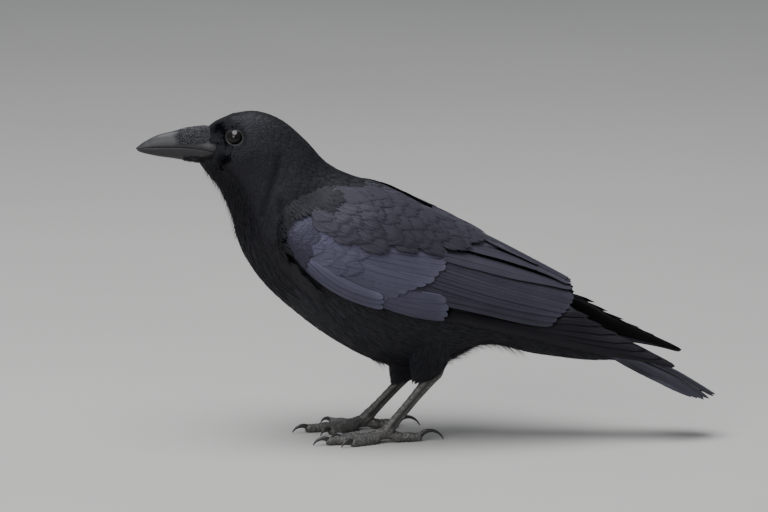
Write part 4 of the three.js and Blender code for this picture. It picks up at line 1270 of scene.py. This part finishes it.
hairFan = dict(headFan, strands=2, rings=6, rounded=0.1, rootShare=0.9, stray=0.6, overlap=0.5, taper=2,
               ruffle=0.8, depth=0.6, roundness=0.6, smooth=0, fixed=True)
wispFan = dict(hairFan, strands=3, lift=4.2, ruffle=1.4, smooth=0.2)
covertFan = dict(backFan, strands=15, rings=6, ruffle=0.012, lift=0.05, depth=0.45, stray=0.006, overlap=2.6,
                 taper=6, roundness=0.05, camber=0.1, ragged=0.035, uneven=0.015)
scapularFan = dict(covertFan, strands=22, rounded=0.4, lift=0.06, depth=0.8, camber=0.2, ragged=0.11,
                   smooth=0.72)
bristleFan = dict(headFan, strands=4, rings=7, rounded=0.1, rootShare=0.8, clump=0.5, stray=0.3, overlap=0.9,
                  taper=2.2, ruffle=0.2, depth=0.35, lift=0.4, camber=0.0, roundness=0.6)

# Feathers part round the eye from flowRadius on, and turn less and less within flowFade. most is the number
# of triangles a piece may have; lengths and turns are how far single feathers differ.
coatLook = {"eyeRadius": 6.7, "flowRadius": 6.9, "flowFade": (9, 17), "eyeRoom": (0.6, 2.4), "most": 185000,
            "lengths": (0.88, 1.12), "turns": 0.06}


def roundEye(chart, a, b, point):  # how far feathers turn to pass round the eye, and the room each one has
    _, normal, alongA, _ = chart.sample(a, b)
    ahead = unit(alongA)
    beside = np.cross(normal, ahead) * chart.flip
    side = np.sign(point[:, 1])
    centre = np.stack([0 * side + eye["x"], side * eye["y"], 0 * side + eye["z"]], -1)
    away = (point - centre) * (1, 0.25, 1)
    p, q = dot(away, ahead), dot(away, beside)
    far = np.maximum(np.sqrt(p**2 + q**2), coatLook["flowRadius"])
    share = (coatLook["flowRadius"] / far) ** 2
    u = 1 - share * (p**2 - q**2) / far**2
    v = -2 * share * p * q / far**2
    flank = np.abs(point[:, 1]) > 5
    turn = np.where(flank, np.arctan2(v, np.maximum(u, 0.05)), 0) * (1 - ramp(far, *coatLook["flowFade"]))
    share, least = coatLook["eyeRoom"]
    toEye = share * (np.sqrt(p**2 + q**2) - coatLook["eyeRadius"]) + least
    return turn, np.where(flank & (p < 0), toEye, np.inf)


def growCoat(name, seed, span, gap, size, fan, finish, chart=bodyChart, keep=None, turn=None, rise=None):
    # Scatters feathers over a chart and builds them in pieces that stay under the most triangles. size is
    # the length and width in gaps between roots, or in millimetres where the fan says fixed.
    rng = np.random.default_rng(seed)
    a, b, point, gaps = scatter(chart, rng, span, gap, keep)
    length, width = ((0 * gaps + 1 if fan["fixed"] else gaps) * part for part in size)
    length = length * rng.uniform(*coatLook["lengths"], len(a))
    turns = rng.normal(0, coatLook["turns"], len(a))
    raised = np.zeros(len(a)) if rise is None else rise(a, b, point)
    if turn is not None:
        swerve, room = turn(chart, a, b, point)
        turns = turns + swerve
        length = np.minimum(length, room)
    perFeather = (6 * (fan["rings"] - 1) + 2) * fan["strands"]
    parts = int(math.ceil(len(a) * perFeather / coatLook["most"]))
    order = np.argsort(b if parts < 3 else a)
    for index, chosen in enumerate(np.array_split(order, parts)):
        batch = Batch()
        roots = {"a": a[chosen], "b": b[chosen], "turn": turns[chosen], "length": length[chosen],
                 "width": width[chosen], "raised": raised[chosen]}
        plant(batch, chart, rng, roots, fan)
        label = name if parts == 1 else f"{name}_{index + 1}"
        finishPiece(batch.build(label, finish, fan["smooth"]))


def fromTop(b):  # 0 along the back, 1 along the belly
    return (1 - np.cos(b)) / 2


def coverAt(a, b, cover=wingCover):  # how thick the wing lies over places of the body
    u = np.clip(((a - bodyA[0]) / (bodyA[1] - bodyA[0])).round().astype(int), 0, len(bodyA) - 1)
    v = ((b - bodyB[0]) / (bodyB[1] - bodyB[0])).round().astype(int) % len(bodyB)
    return cover[u, v]


def nearEye(point):
    return onEyeSide(point) & (eyeDistance(point) <= coatLook["eyeRadius"])


def inPaintedShade(point):  # the painted shade of the lores and the notch behind the gape, with a broken edge, off the middle line
    spot = seen(point)
    loose = 0.9 * np.sin(37 * spot[:, 0] + 51 * spot[:, 1])
    near = [lineDistance(spot, line) < reach + loose for line, reach in shadedPatches]
    return (near[0] | near[1]) & (np.abs(point[:, 1]) > 4 + loose)


def onBill(point):
    return underBill(point) > 0.5


# The shoulder's feathers lie between the neck's and the scapulars', on the wing where it is thin. front, back
# and end are places along the bird, and cover and hidden are the wing's least and greatest thickness there.
shoulderLook = {"front": -112, "back": -84, "end": -70, "cover": (0.25, 5.6), "hidden": (2.4, 5.2),
                "hiddenFrom": 5.7, "lowest": 0.85, "scapularsFrom": 7.0, "mantleFrom": 7.4, "lift": 0.3,
                "climb": 2.3, "climbAlong": (5.9, 6.9), "climbOver": (0.25, 2.5), "scapularLift": 2.5}


def between(value, limits):
    return (value > limits[0]) & (value < limits[1])


def underShoulder(a, b, point):  # where the shoulder's own feathers hide the neck's
    hidden = between(coverAt(a, b, softCover), shoulderLook["hidden"])
    return (a > shoulderLook["hiddenFrom"]) & (point[:, 0] < shoulderLook["back"]) & hidden


def onShoulder(a, b, point):
    kept = between(coverAt(a, b, softCover), shoulderLook["cover"]) & (fromTop(b) < shoulderLook["lowest"])
    kept &= point[:, 0] < shoulderLook["end"]
    kept &= ~(overScapulars(point) & (a > shoulderLook["scapularsFrom"]))
    return kept & ~(overMantle(b, point) & (a > shoulderLook["mantleFrom"]))


def pastFront(point):  # 0 at the front of the shoulder, 1 at its back
    return ramp(point[:, 0], shoulderLook["front"], shoulderLook["back"])


def shoulderRise(a, b, point):  # from the neck's own level up to the level of the scapulars
    back = shoulderLook["climb"] * ramp(a, *shoulderLook["climbAlong"]) * pastFront(point)
    return shoulderLook["lift"] + back * ramp(coverAt(a, b, softCover), *shoulderLook["climbOver"])


mantleLine = [(-110, 172), (-60, 170), (20, 156)]
scapularLine = [(-125, 190), (-103, 179), (-85, 169), (-70, 160), (-54, 156.5), (-37, 155.5), (-20, 155.5),
                (-1, 157), (17, 157.5), (27, 162)]


def overMantle(b, point):  # the roots of the feathers between the shoulders
    return (fromTop(b) < 0.45) & (seen(point)[:, 1] > lineHeight(mantleLine, point[:, 0]))


def overScapulars(point):  # the roots whose tips end at the lower border of the scapulars
    x, height = seen(point)[..., 0], seen(point)[..., 1]
    return (height > lineHeight(scapularLine, x)) & (x < 24)


def onScapulars(a, b, point):
    return (coverAt(a, b, softCover) > 1) & overScapulars(point)


def scapularSpacing(a, point):  # wider towards the tail
    return lerp(3.6, 7.4, ramp(point[..., 0], shoulderLook["front"], shoulderLook["end"]))


def scapularRise(a, b, point):  # they lift by degrees behind the front of the shoulder
    return shoulderLook["scapularLift"] * pastFront(point)


# Each coat's seed, its span along the chart, the gap between its roots, and each feather's size.
coats = {
    "face": dict(seed=11, span=(0.05, 2.6), gap=(1.6, 1.9, 0, 2.5), size=(3.2, 1.9), fan=headFan,
                 finish=headBlack, turn=roundEye,
                 keep=lambda a, b, p: ~nearEye(p) & ~inPaintedShade(p) & ~onBill(p)),
    # near-black feathers in the lores and behind the gape: painted shade
    "lores": dict(seed=16, span=(0.05, 2.6), gap=1.7, size=(3.0, 1.9), fan=dict(headFan, lift=0.0),
                  finish=loresShadeBlack, turn=roundEye,
                  keep=lambda a, b, p: ~nearEye(p) & inPaintedShade(p) & ~onBill(p)),
    "crown": dict(seed=12, span=(2.6, 5.0), gap=(1.95, 2.7, 2.6, 5), size=(3.4, 1.9), fan=headFan,
                  finish=headBlack, turn=roundEye,
                  keep=lambda a, b, p: ~nearEye(p) & ~((fromTop(b) > 0.8) & (a > 3))),
    "nape": dict(seed=13, span=(5.0, 7.6), gap=(3.1, 4.9, 5, 7.6), size=(3.3, 1.9), fan=napeFan,
                 finish=headBlack,
                 keep=lambda a, b, p: (fromTop(b) < 0.82) & (coverAt(a, b) < 8) & ~underShoulder(a, b, p)),
    "throat": dict(seed=14, span=(2.2, 7.2), gap=(2.3, 4.3, 2.2, 7.2), size=(4.4, 1.8), fan=throatFan,
                   finish=headBlack, keep=lambda a, b, p: (fromTop(b) > 0.74) & ~onBill(p)),
    "breast": dict(seed=21, span=(7.0, 12.5), gap=5.4, size=(4.2, 2.3), fan=breastFan, finish=bodyBlack,
                   keep=lambda a, b, p: (coverAt(a, b) < 9) & (fromTop(b) > 0.4)),
    "belly": dict(seed=26, span=(9.6, 11.4), gap=5.5, size=(20, 9), fan=fluffFan, finish=bodyBlack,
                  keep=lambda a, b, p: fromTop(b) > 0.9),
    "bellyWisps": dict(seed=27, span=(8.4, 11.6), gap=3.2, size=(13, 3.2), fan=wispFan, finish=bodyBlack,
                       keep=lambda a, b, p: (fromTop(b) > 0.92) & between(p[:, 0], (-47, -22))),
    "ventWisps": dict(seed=28, span=(10.5, 14.5), gap=3.8, size=(16, 3.6), fan=dict(wispFan, lift=5.5),
                      finish=bodyBlack,
                      keep=lambda a, b, p: (fromTop(b) > 0.88) & between(p[:, 0], (4, 66))),
    "shoulder": dict(chart=dressedChart, seed=29, span=(5.4, 8.0), gap=3.7, size=(2.9, 1.9),
                     fan=dict(napeFan, strands=8, rings=4), finish=headBlack, keep=onShoulder,
                     rise=shoulderRise),
    "mantle": dict(chart=dressedChart, seed=22, span=(7.2, 10.8), gap=(4.2, 7.4, 7.2, 10), size=(2.9, 2.0),
                   fan=backFan, finish=backBlack, keep=lambda a, b, p: overMantle(b, p)),
    "scapulars": dict(chart=dressedChart, seed=23, span=(6.7, 12.0), gap=scapularSpacing, size=(3.2, 2.2),
                      fan=scapularFan, finish=scapularBlack, keep=onScapulars, rise=scapularRise),
    "rump": dict(seed=24, span=(10.2, 14.6), gap=6.2, size=(4.2, 2.0), fan=dict(backFan, lift=0.7),
                 finish=backBlack, keep=lambda a, b, p: (fromTop(b) < 0.4) & (coverAt(a, b) < 5)),
    "vent": dict(seed=25, span=(12.2, 14.8), gap=4.6, size=(6.0, 2.4), finish=bodyBlack,
                 fan=dict(breastFan, lift=0.4, ruffle=0.2), keep=lambda a, b, p: fromTop(b) > 0.35),
}
for name, chart in thighCharts.items():
    coats["thighPlumage_" + name] = dict(chart=chart, seed=31, span=(0.3, 3.75), gap=(3.8, 2.1, 1.5, 4),
                                         size=(3.6, 1.9), fan=thighFan, finish=bodyBlack)
throatHairs = dict(seed=43, span=(0.4, 4.6), gap=2.4, size=(10, 2.2), fan=dict(hairFan, lift=3.2),
                   finish=headBlack, keep=lambda a, b, p: fromTop(b) > 0.88)


def plantOnBill(name, seed, span, gap, keep, shape, fan, finish):  # shape gives the roots' own values
    rng = np.random.default_rng(seed)
    a, b, point, _ = scatter(billChart, rng, span, gap, keep)
    batch = Batch()
    plant(batch, billChart, rng, {"a": a, "b": b, **shape(rng, a, b, point)}, fan)
    finishPiece(batch.build(name, finish))


# The least and greatest length of a bristle, where along the bill they start, and how far they stand off it.
bristleLook = {"length": (5, 19), "start": -196.5, "vary": (0.6, 1.0), "turn": (0.1, 0.1), "width": 1.7,
               "raised": 0.55}
chinLook = {"turn": (0, 0.12), "length": 5, "longer": 4.5, "along": (4.3, 6), "width": 2.4}


def bristleRoots(rng, a, b, point):
    length = np.clip(point[:, 0] - bristleLook["start"], *bristleLook["length"])
    length = length * rng.uniform(*bristleLook["vary"], len(a))
    turn = math.pi - np.sign(b) * rng.normal(*bristleLook["turn"], len(a))
    return {"turn": turn, "length": length, "width": 0 * a + bristleLook["width"],
            "raised": 0 * a + bristleLook["raised"]}


def chinRoots(rng, a, b, point):
    length = chinLook["length"] + chinLook["longer"] * ramp(a, *chinLook["along"])
    turn = rng.normal(*chinLook["turn"], len(a))
    return {"turn": turn, "length": length, "width": 0 * a + chinLook["width"]}


def makeBristles():
    plantOnBill("nasalBristles", seed=41, span=(5.15, 7.8), gap=1.05, shape=bristleRoots, fan=bristleFan,
                finish=bristleBlack,
                keep=lambda a, b, p: (np.abs(b) < math.radians(80)) & (seen(p)[:, 1] > 229.5))
    plantOnBill("chinPlumage", seed=42, span=(4.3, 7.7), gap=1.5, shape=chinRoots, finish=headBlack,
                fan=dict(throatFan, depth=0.3, lift=0.8, ruffle=0.3),
                keep=lambda a, b, p: (np.abs(b) > math.radians(120)) & (seen(p)[:, 1] < 218.5))
    growCoat("throatHairs", **throatHairs)


def carriedOn(line, share):  # like alongLine, carried on straight past both ends
    line = np.asarray(line, float)
    before = np.minimum(share, 0)[:, None] * (line[1] - line[0]) * (len(line) - 1)
    after = np.maximum(share - 1, 0)[:, None] * (line[-1] - line[-2]) * (len(line) - 1)
    return alongLine(line, np.clip(share, 0, 1)) + before + after


def onWing(point, b):  # shares of the way up and along the coverts' patch, for places of a wing
    s = np.linspace(-0.3, 1.2, 76)
    f = np.linspace(-0.15, 1.15, 40)
    low, high = (carriedOn(wingLines[key], s) for key in ("covertLow", "covertHigh"))
    tree = sideTree(lerp(low[None], high[None], f[:, None, None]))
    found = np.array([tree.find((x, height, 0))[1:] for x, height in seen(point)])
    index = found[:, 0].astype(int)
    return f[index // len(s)], s[index % len(s)], (found[:, 1] < covertLook["reach"]) & (np.sin(b) > 0)


# The small coverts lie over the front of the patch of the greater coverts and round the bend of the wing. end
# and foot are how far along and down the patch they reach, and clear is where the greater coverts stay bare.
covertLook = {"span": (0.02, 4.2), "gap": (3.0, 6.4, 0.3, 3.0), "size": (3.1, 2.05), "raised": 2.3,
              "smooth": 0.75, "turn": (-0.12, 0.08), "end": 0.46, "foot": -0.1, "bend": 0.8, "under": -0.75,
              "clear": (0.2, 0.1), "lesserEnd": 1.5, "reach": 4}


def makeCovertCoat():  # small feathers from the bend of the wing to the roots of the greater coverts
    wing = wingCharts["left"]
    rng = np.random.default_rng(51)
    a, b, point, gap = scatter(wing, rng, covertLook["span"], covertLook["gap"])
    f, s, inside = onWing(point, b)
    kept = inside & (s < covertLook["end"]) & (f > covertLook["foot"])
    kept |= (a < covertLook["bend"]) & (np.sin(b) > covertLook["under"])
    kept &= ~((f < covertLook["clear"][0]) & (s > covertLook["clear"][1]))
    order = np.flatnonzero(kept)[np.argsort(a[kept])]
    a, b, gap = a[order], b[order], gap[order]
    lesser = a < covertLook["lesserEnd"]
    # lit and shaded copies of one plumage: the lesser coverts round the bend take the darker one, painted
    # shade
    parts = {"lesserCoverts": (lesser, shoulderShadeBlack), "medianCoverts": (~lesser, wingBlack)}
    length, width = (gap * part for part in covertLook["size"])
    for name in sides:
        rng = np.random.default_rng(52)
        turn = rng.normal(*covertLook["turn"], len(a))
        for part, (chosen, finish) in parts.items():
            roots = {"a": a[chosen], "b": b[chosen], "turn": turn[chosen], "length": length[chosen],
                     "width": width[chosen], "raised": 0 * a[chosen] + covertLook["raised"]}
            batch = Batch()
            plant(batch, wingCharts[name], rng, roots, covertFan)
            finishPiece(batch.build(f"{part}_{name}", finish, covertLook["smooth"]))


for name, coat in coats.items():
    growCoat(name, **coat)
makeBristles()
makeCovertCoat()
print("coat made")


# Bill: upper and lower mandibles.

billLook = {"overlap": 0.55, "gap": 0.5, "palate": 1.3, "gapeWidth": 1.9, "growth": 0.035, "lowerStart": 0.55,
            "tuck": 0.2, "rim": 0.12, "rimAt": 0.93, "end": 7}
# The edge of the upper mandible in the side view.
mouthLine = [(-226.4, 227.4), (-224, 228), (-219, 229), (-209, 230), (-192, 230.3), (-181, 229.6),
             (-170, 227.9), (-162, 226)]


def mouthAngle(a):  # how far round from the culmen the mouth lies, for each place along the bill
    r = spline(billRibs, a)
    middleX, middleZ = (r[:, 0] + r[:, 2]) / 2, (r[:, 1] + r[:, 3]) / 2
    upX, upZ = (r[:, 0] - r[:, 2]) / 2, (r[:, 1] - r[:, 3]) / 2
    c = np.zeros(len(a))
    for _ in range(3):
        c = np.clip((lineHeight(mouthLine, middleX + upX * c) - middleZ) / upZ, -0.96, 0.96)
    return np.arccos(signedPower(c, billOval["squareness"] / 2))


def billRings(a, upper):  # one mandible: its outer skin from edge to edge, closed by the inside of the mouth
    turn = mouthAngle(a)[:, None]
    share = np.linspace(1, -1, 45)[None, :]
    if upper:
        angles = turn * share
    else:
        angles = -turn - (1 - share) / 2 * (2 * np.pi - 2 * turn)
    r = spline(billRibs, a)[:, None]
    outer, centre = ribOval(r, angles, **billOval)
    edge = np.abs(share) ** 10  # 1 at the cutting edges
    half = r[..., 4]
    change = -billLook["tuck"] * edge if upper else -billLook["overlap"] * np.abs(share) ** 4
    change = change + (billLook["rim"] * bell(np.abs(share) - billLook["rimAt"], 0.03) if upper else 0)
    change = change * np.minimum(half / 4, 1)
    lines = billLook["growth"] * np.sin(a * 19 + np.sin(a * 7) * 2)[:, None] * (1 - edge)
    gape = billLook["gapeWidth"] * ramp(a, 5.3, 6.6)[:, None] * bell(np.abs(share) - 1, 0.35)
    away = unit(outer - centre)
    outer = outer + away * (change + lines)[..., None] + np.sign(outer) * (0, 1, 0) * gape[..., None]
    drop = billLook["gap"] * np.minimum(half / 5, 1)
    outer[..., 2] += (-0.15 * drop if upper else -drop) * edge
    inner = np.linspace(-1, 1, 11)[1:-1] if upper else np.linspace(1, -1, 11)[1:-1]
    start, end = outer[:, -1], outer[:, 0]
    t = (1 - np.abs(inner)) ** 0.7 * (1 if upper else -1)
    palate = lerp(start[:, None], end[:, None], np.linspace(0, 1, 11)[1:-1][None, :, None])
    palate[..., 2] += (billLook["palate"] * np.minimum(half / 8, 1)) * t[None, :]
    return np.concatenate([outer, palate], 1)


def makeBill():
    spread = np.linspace(0, 1, 90) ** 1.25 * billLook["end"]
    upper = ringMesh("upperMandible", billRings(np.maximum(spread, 0.02), True))
    finishPiece(place(upper, billHorn), ["bill_upper"])
    places = lerp(billLook["lowerStart"], billLook["end"], np.linspace(0, 1, 84) ** 1.2)
    lower = ringMesh("lowerMandible", billRings(places, False))
    finishPiece(place(lower, billHorn), ["bill_lower"])
    print("bill made")


makeBill()


# Shanks, toes and claws.

shankRibs = [(-0.04, 4.2, 3.6), (0.04, 5.7, 4.4), (0.14, 5.1, 3.6), (0.45, 4, 2.9), (0.78, 4.1, 3.1),
             (0.94, 4.9, 4.4), (1.03, 4.1, 4.2)]
toes = {
    "middle": {"turn": 0, "length": 47, "radius": 4.1, "claw": 12, "curl": 0.86, "scutes": 17},
    "hind": {"turn": 180, "length": 29, "radius": 4.1, "claw": 18.5, "curl": 1.3, "scutes": 9},
    "inner": {"turn": -25, "length": 35, "radius": 3.9, "claw": 10, "curl": 1, "scutes": 13},
    "outer": {"turn": "splay", "length": 31.5, "radius": 3.8, "claw": 10, "curl": 0.9, "scutes": 13},
}
# groove is how far round from the front the long grooves of a shank lie, and plates how far its scutes reach.
legLook = {"shankScutes": 10, "scuteHeight": 0.38, "toeScuteHeight": 0.5, "grain": 0.1, "clawTip": 0.3,
           "groove": 1.8, "grooveDepth": 0.6, "plates": 1.45, "toePlates": 1.25, "bow": 0.018, "pinch": 0.3,
           "pads": 3, "padHeight": 0.07, "toeEnd": 0.45, "toeWidth": 0.88, "toeLevel": 0.86}
# The claws: the slopes at which they leave the toe and end, in degrees, and their thickness and width.
clawLook = {"start": 48, "level": 10, "end": -62, "rootAt": 0.97, "rootHeight": 1.05, "thick": 0.5,
            "least": 0.28, "width": 0.78, "groove": 0.28}


def scuteHeight(share, count, height):  # overlapping plates: each rises to its far edge and drops to the next
    part = (share * count) % 1
    return height * (part**1.6 - 1.0 * ramp(part, 0.9, 1.0)) + 0.02 * np.sin(part * 40)


def scuteEdge(share, count):  # how far from the joint of two plates a place is, from 0 to 0.5
    part = (share * count) % 1
    return np.minimum(part, 1 - part)


def shankRings(leg):  # a shank's rings, and how dark its grooves (painted shade) and the joints of its scutes are
    angle = math.radians(leg["shankAngle"])
    down = np.array([-math.cos(angle), 0, -math.sin(angle)])
    front = np.array([down[2], 0, -down[0]])
    heel = np.array(leg["foot"]) - down * shankLength
    r = spline(shankRibs, np.linspace(0, 6, 170))
    turns = bothWays(40)
    s = r[:, 0:1]
    back = (1 - np.cos(turns)) / 2
    plate = ramp(legLook["plates"] - np.abs(turns), 0, 0.25) * ramp(s, 0.06, 0.14)
    bowed = s + legLook["bow"] * (turns / 1.3) ** 2
    change = plate * scuteHeight(bowed, legLook["shankScutes"], legLook["scuteHeight"])
    groove = np.abs(turns) - legLook["groove"]
    change = change - legLook["grooveDepth"] * bell(groove, 0.2) * ramp(s, 0.08, 0.2)
    knobs = np.sin(s * 190) * np.sin(turns * 9) * legLook["grain"] * (1 - plate)
    change = change + knobs * (1 + 2 * (1 - ramp(s, 0.05, 0.18)) + 1.5 * ramp(s, 0.85, 0.97))
    pinch = 1 - legLook["pinch"] * back**2 * ramp(s, 0.12, 0.25) * (1 - ramp(s, 0.85, 0.98))
    centre = heel + down * s[..., None] * shankLength
    along = (r[:, 1:2] + change) * np.cos(turns)
    across = (r[:, 2:3] * pinch + change) * np.sin(turns)
    # painted shade in the long grooves
    dark = bell(groove, 0.42) * ramp(s, 0.04, 0.16) * (1 - ramp(s, 0.86, 0.96))
    joints = plate * (1 - ramp(scuteEdge(bowed, legLook["shankScutes"]), 0.0, 0.16)) * 0.8
    points = centre + front * along[..., None] + np.array([0, 1, 0]) * across[..., None]
    return points, np.maximum(dark, joints)


def toeFrame(leg, toe):  # which way a toe points, and the way across it
    own = leg["splay"] if toe["turn"] == "splay" else toe["turn"]
    turn = math.radians(leg["heading"] + leg["side"] * own)
    ahead = np.array([-math.cos(turn), math.sin(turn), 0])
    return ahead, np.array([-ahead[1], ahead[0], 0])


def toeRadius(toe, t):  # thinner towards the claw
    return toe["radius"] * (1.12 - 0.28 * t)


def toeAxis(leg, toe, t):  # points at shares of a toe's length
    point = np.array(leg["foot"]) + toeFrame(leg, toe)[0] * toe["length"] * t[:, None]
    level = toeRadius(toe, t) * legLook["toeLevel"]
    point[:, 2] = lerp(point[:, 2], level, ramp(t, 0, 0.4))
    return point


def toeRings(leg, toe):  # a toe's rings, flat where it rests, and how dark the joints of its scutes are
    _, across = toeFrame(leg, toe)
    t = np.linspace(0, 1, 110)
    turns = bothWays(32)
    u = t[:, None]
    pad = 1 + legLook["padHeight"] * np.cos(2 * np.pi * legLook["pads"] * u)
    end = 1 - legLook["toeEnd"] * ramp(u, 0.93, 1)
    radius = toeRadius(toe, u) * pad * end
    plate = ramp(legLook["toePlates"] - np.abs(turns), 0, 0.2) * ramp(u, 0.02, 0.1)
    change = plate * scuteHeight(u + 0.01 * turns**2, toe["scutes"], legLook["toeScuteHeight"])
    knobs = np.sin(u * toe["length"] * 4.2) * np.sin(turns * 11)
    change = change + (1 - plate) * legLook["grain"] * 1.7 * knobs
    centre = toeAxis(leg, toe, t)[:, None]
    up = (radius + change) * np.cos(turns)
    beside = (radius * legLook["toeWidth"] + change) * np.sin(turns)
    points = centre + np.array([0, 0, 1]) * up[..., None] + across * beside[..., None]
    points[..., 2] = np.maximum(points[..., 2], 0)
    joints = plate * (1 - ramp(scuteEdge(u + 0.01 * turns**2, toe["scutes"]), 0.0, 0.22)) * 0.85
    return points, joints


def clawRings(leg, toe):  # a claw's rings along an arc from the toe's end down to the ground
    ahead, across = toeFrame(leg, toe)
    root = toeAxis(leg, toe, np.array([clawLook["rootAt"]]))[0]
    root[2] = toe["radius"] * clawLook["rootHeight"]
    startAngle = math.radians(clawLook["start"] * toe["curl"] - clawLook["level"])
    endAngle = math.radians(clawLook["end"])
    bend = toe["claw"] / (math.sin(startAngle) - math.sin(endAngle))
    arcEnd = root[2] + bend * (math.cos(endAngle) - math.cos(startAngle))
    t = np.linspace(0, 1, 40)[:, None]
    angle = lerp(startAngle, endAngle, t)
    centre = root + ahead * bend * (math.sin(startAngle) - np.sin(angle))
    drop = arcEnd - legLook["clawTip"] - 0.3
    centre[:, 2:] += bend * (np.cos(angle) - math.cos(startAngle)) - drop * t**1.5
    radius = toe["radius"] * clawLook["thick"] * (1 - t) ** 0.8 + clawLook["least"]
    normal = ahead * -np.sin(angle) + np.array([0, 0, 1]) * np.cos(angle)
    turns = around(24)[None, :, None]
    groove = 1 - clawLook["groove"] * bell(turns - np.pi, 0.5)
    ringUp = normal[:, None] * radius[:, None] * np.cos(turns) * groove
    return centre[:, None] + ringUp + across * radius[:, None] * clawLook["width"] * np.sin(turns)


def makeLegs():
    for name, leg in legs.items():
        rings, shade = shankRings(leg)
        mesh = shadeAndJointsMesh(ringMesh("tarsus_" + name, rings, True), shade)
        finishPiece(place(mesh, legScales), ["shank_" + name])
        for toeName, toe in toes.items():
            rings, shade = toeRings(leg, toe)
            mesh = shadeAndJointsMesh(ringMesh(f"digit_{name}_{toeName}", rings, True), shade)
            finishPiece(place(mesh, legScales), [f"toe_{name}_{toeName}"])
            mesh = ringMesh(f"talon_{name}_{toeName}", clawRings(leg, toe), True)
            finishPiece(place(mesh, clawHorn), [f"claw_{name}_{toeName}"])
    print("legs made")


makeLegs()


# Stage, light and camera.

lights = {
    "above": {"at": (-0.3, -0.3, 2.6), "size": 2.4, "power": 120, "colour": (0.96, 0.98, 1)},
    "window": {"at": (-1.4, -2.6, 1.7), "size": 2.2, "power": 62, "colour": (0.98, 0.99, 1)},
}
lightTarget = (0, 0, 0.13)
skyLook = {"Color": (0.88, 0.93, 1, 1), "Strength": 0.3}
cameraLook = {"lens": 300, "aim": (-0.0335, 0, 0.1432), "distance": 4.99}
floorHalf = 3000


def link(thing):
    bpy.context.scene.collection.objects.link(thing)


def makeStage():
    made, nodes, inputs = newMaterial("floor", {"Roughness": 0.85})
    colour = nodes.mix(nodes.noise(9.0, 6.0), (0.33, 0.322, 0.307, 1), (0.39, 0.381, 0.365, 1))
    nodes.put(colour, inputs["Base Color"])
    corners = floorHalf * np.array([(-1, -1, 0), (1, -1, 0), (1, 1, 0), (-1, 1, 0)], float)
    place(meshFrom("floor", corners, [np.array([[0, 1, 2, 3]])]), made)
    world = bpy.data.worlds.new("sky")
    bpy.context.scene.world = world
    world.use_nodes = True
    for key, value in skyLook.items():
        world.node_tree.nodes["Background"].inputs[key].default_value = value


def makeLight(name, look):
    data = bpy.data.lights.new(name, "AREA")
    data.shape, data.size, data.energy, data.color = "DISK", look["size"], look["power"], look["colour"]
    light = bpy.data.objects.new(name, data)
    light.location = look["at"]
    away = Vector(lightTarget) - Vector(look["at"])
    light.rotation_euler = away.to_track_quat("-Z", "Y").to_euler()
    link(light)


def makeCamera():
    data = bpy.data.cameras.new("camera")
    data.lens, data.sensor_width, data.clip_end = cameraLook["lens"], 36, 50
    camera = bpy.data.objects.new("camera", data)
    back = Vector((0, -math.cos(viewTilt), math.sin(viewTilt)))
    camera.location = Vector(cameraLook["aim"]) + back * cameraLook["distance"]
    camera.rotation_euler = (-back).to_track_quat("-Z", "Y").to_euler()
    link(camera)
    bpy.context.scene.camera = camera


makeStage()
for name, look in lights.items():
    makeLight(name, look)
makeCamera()
bpy.context.view_layer.update()
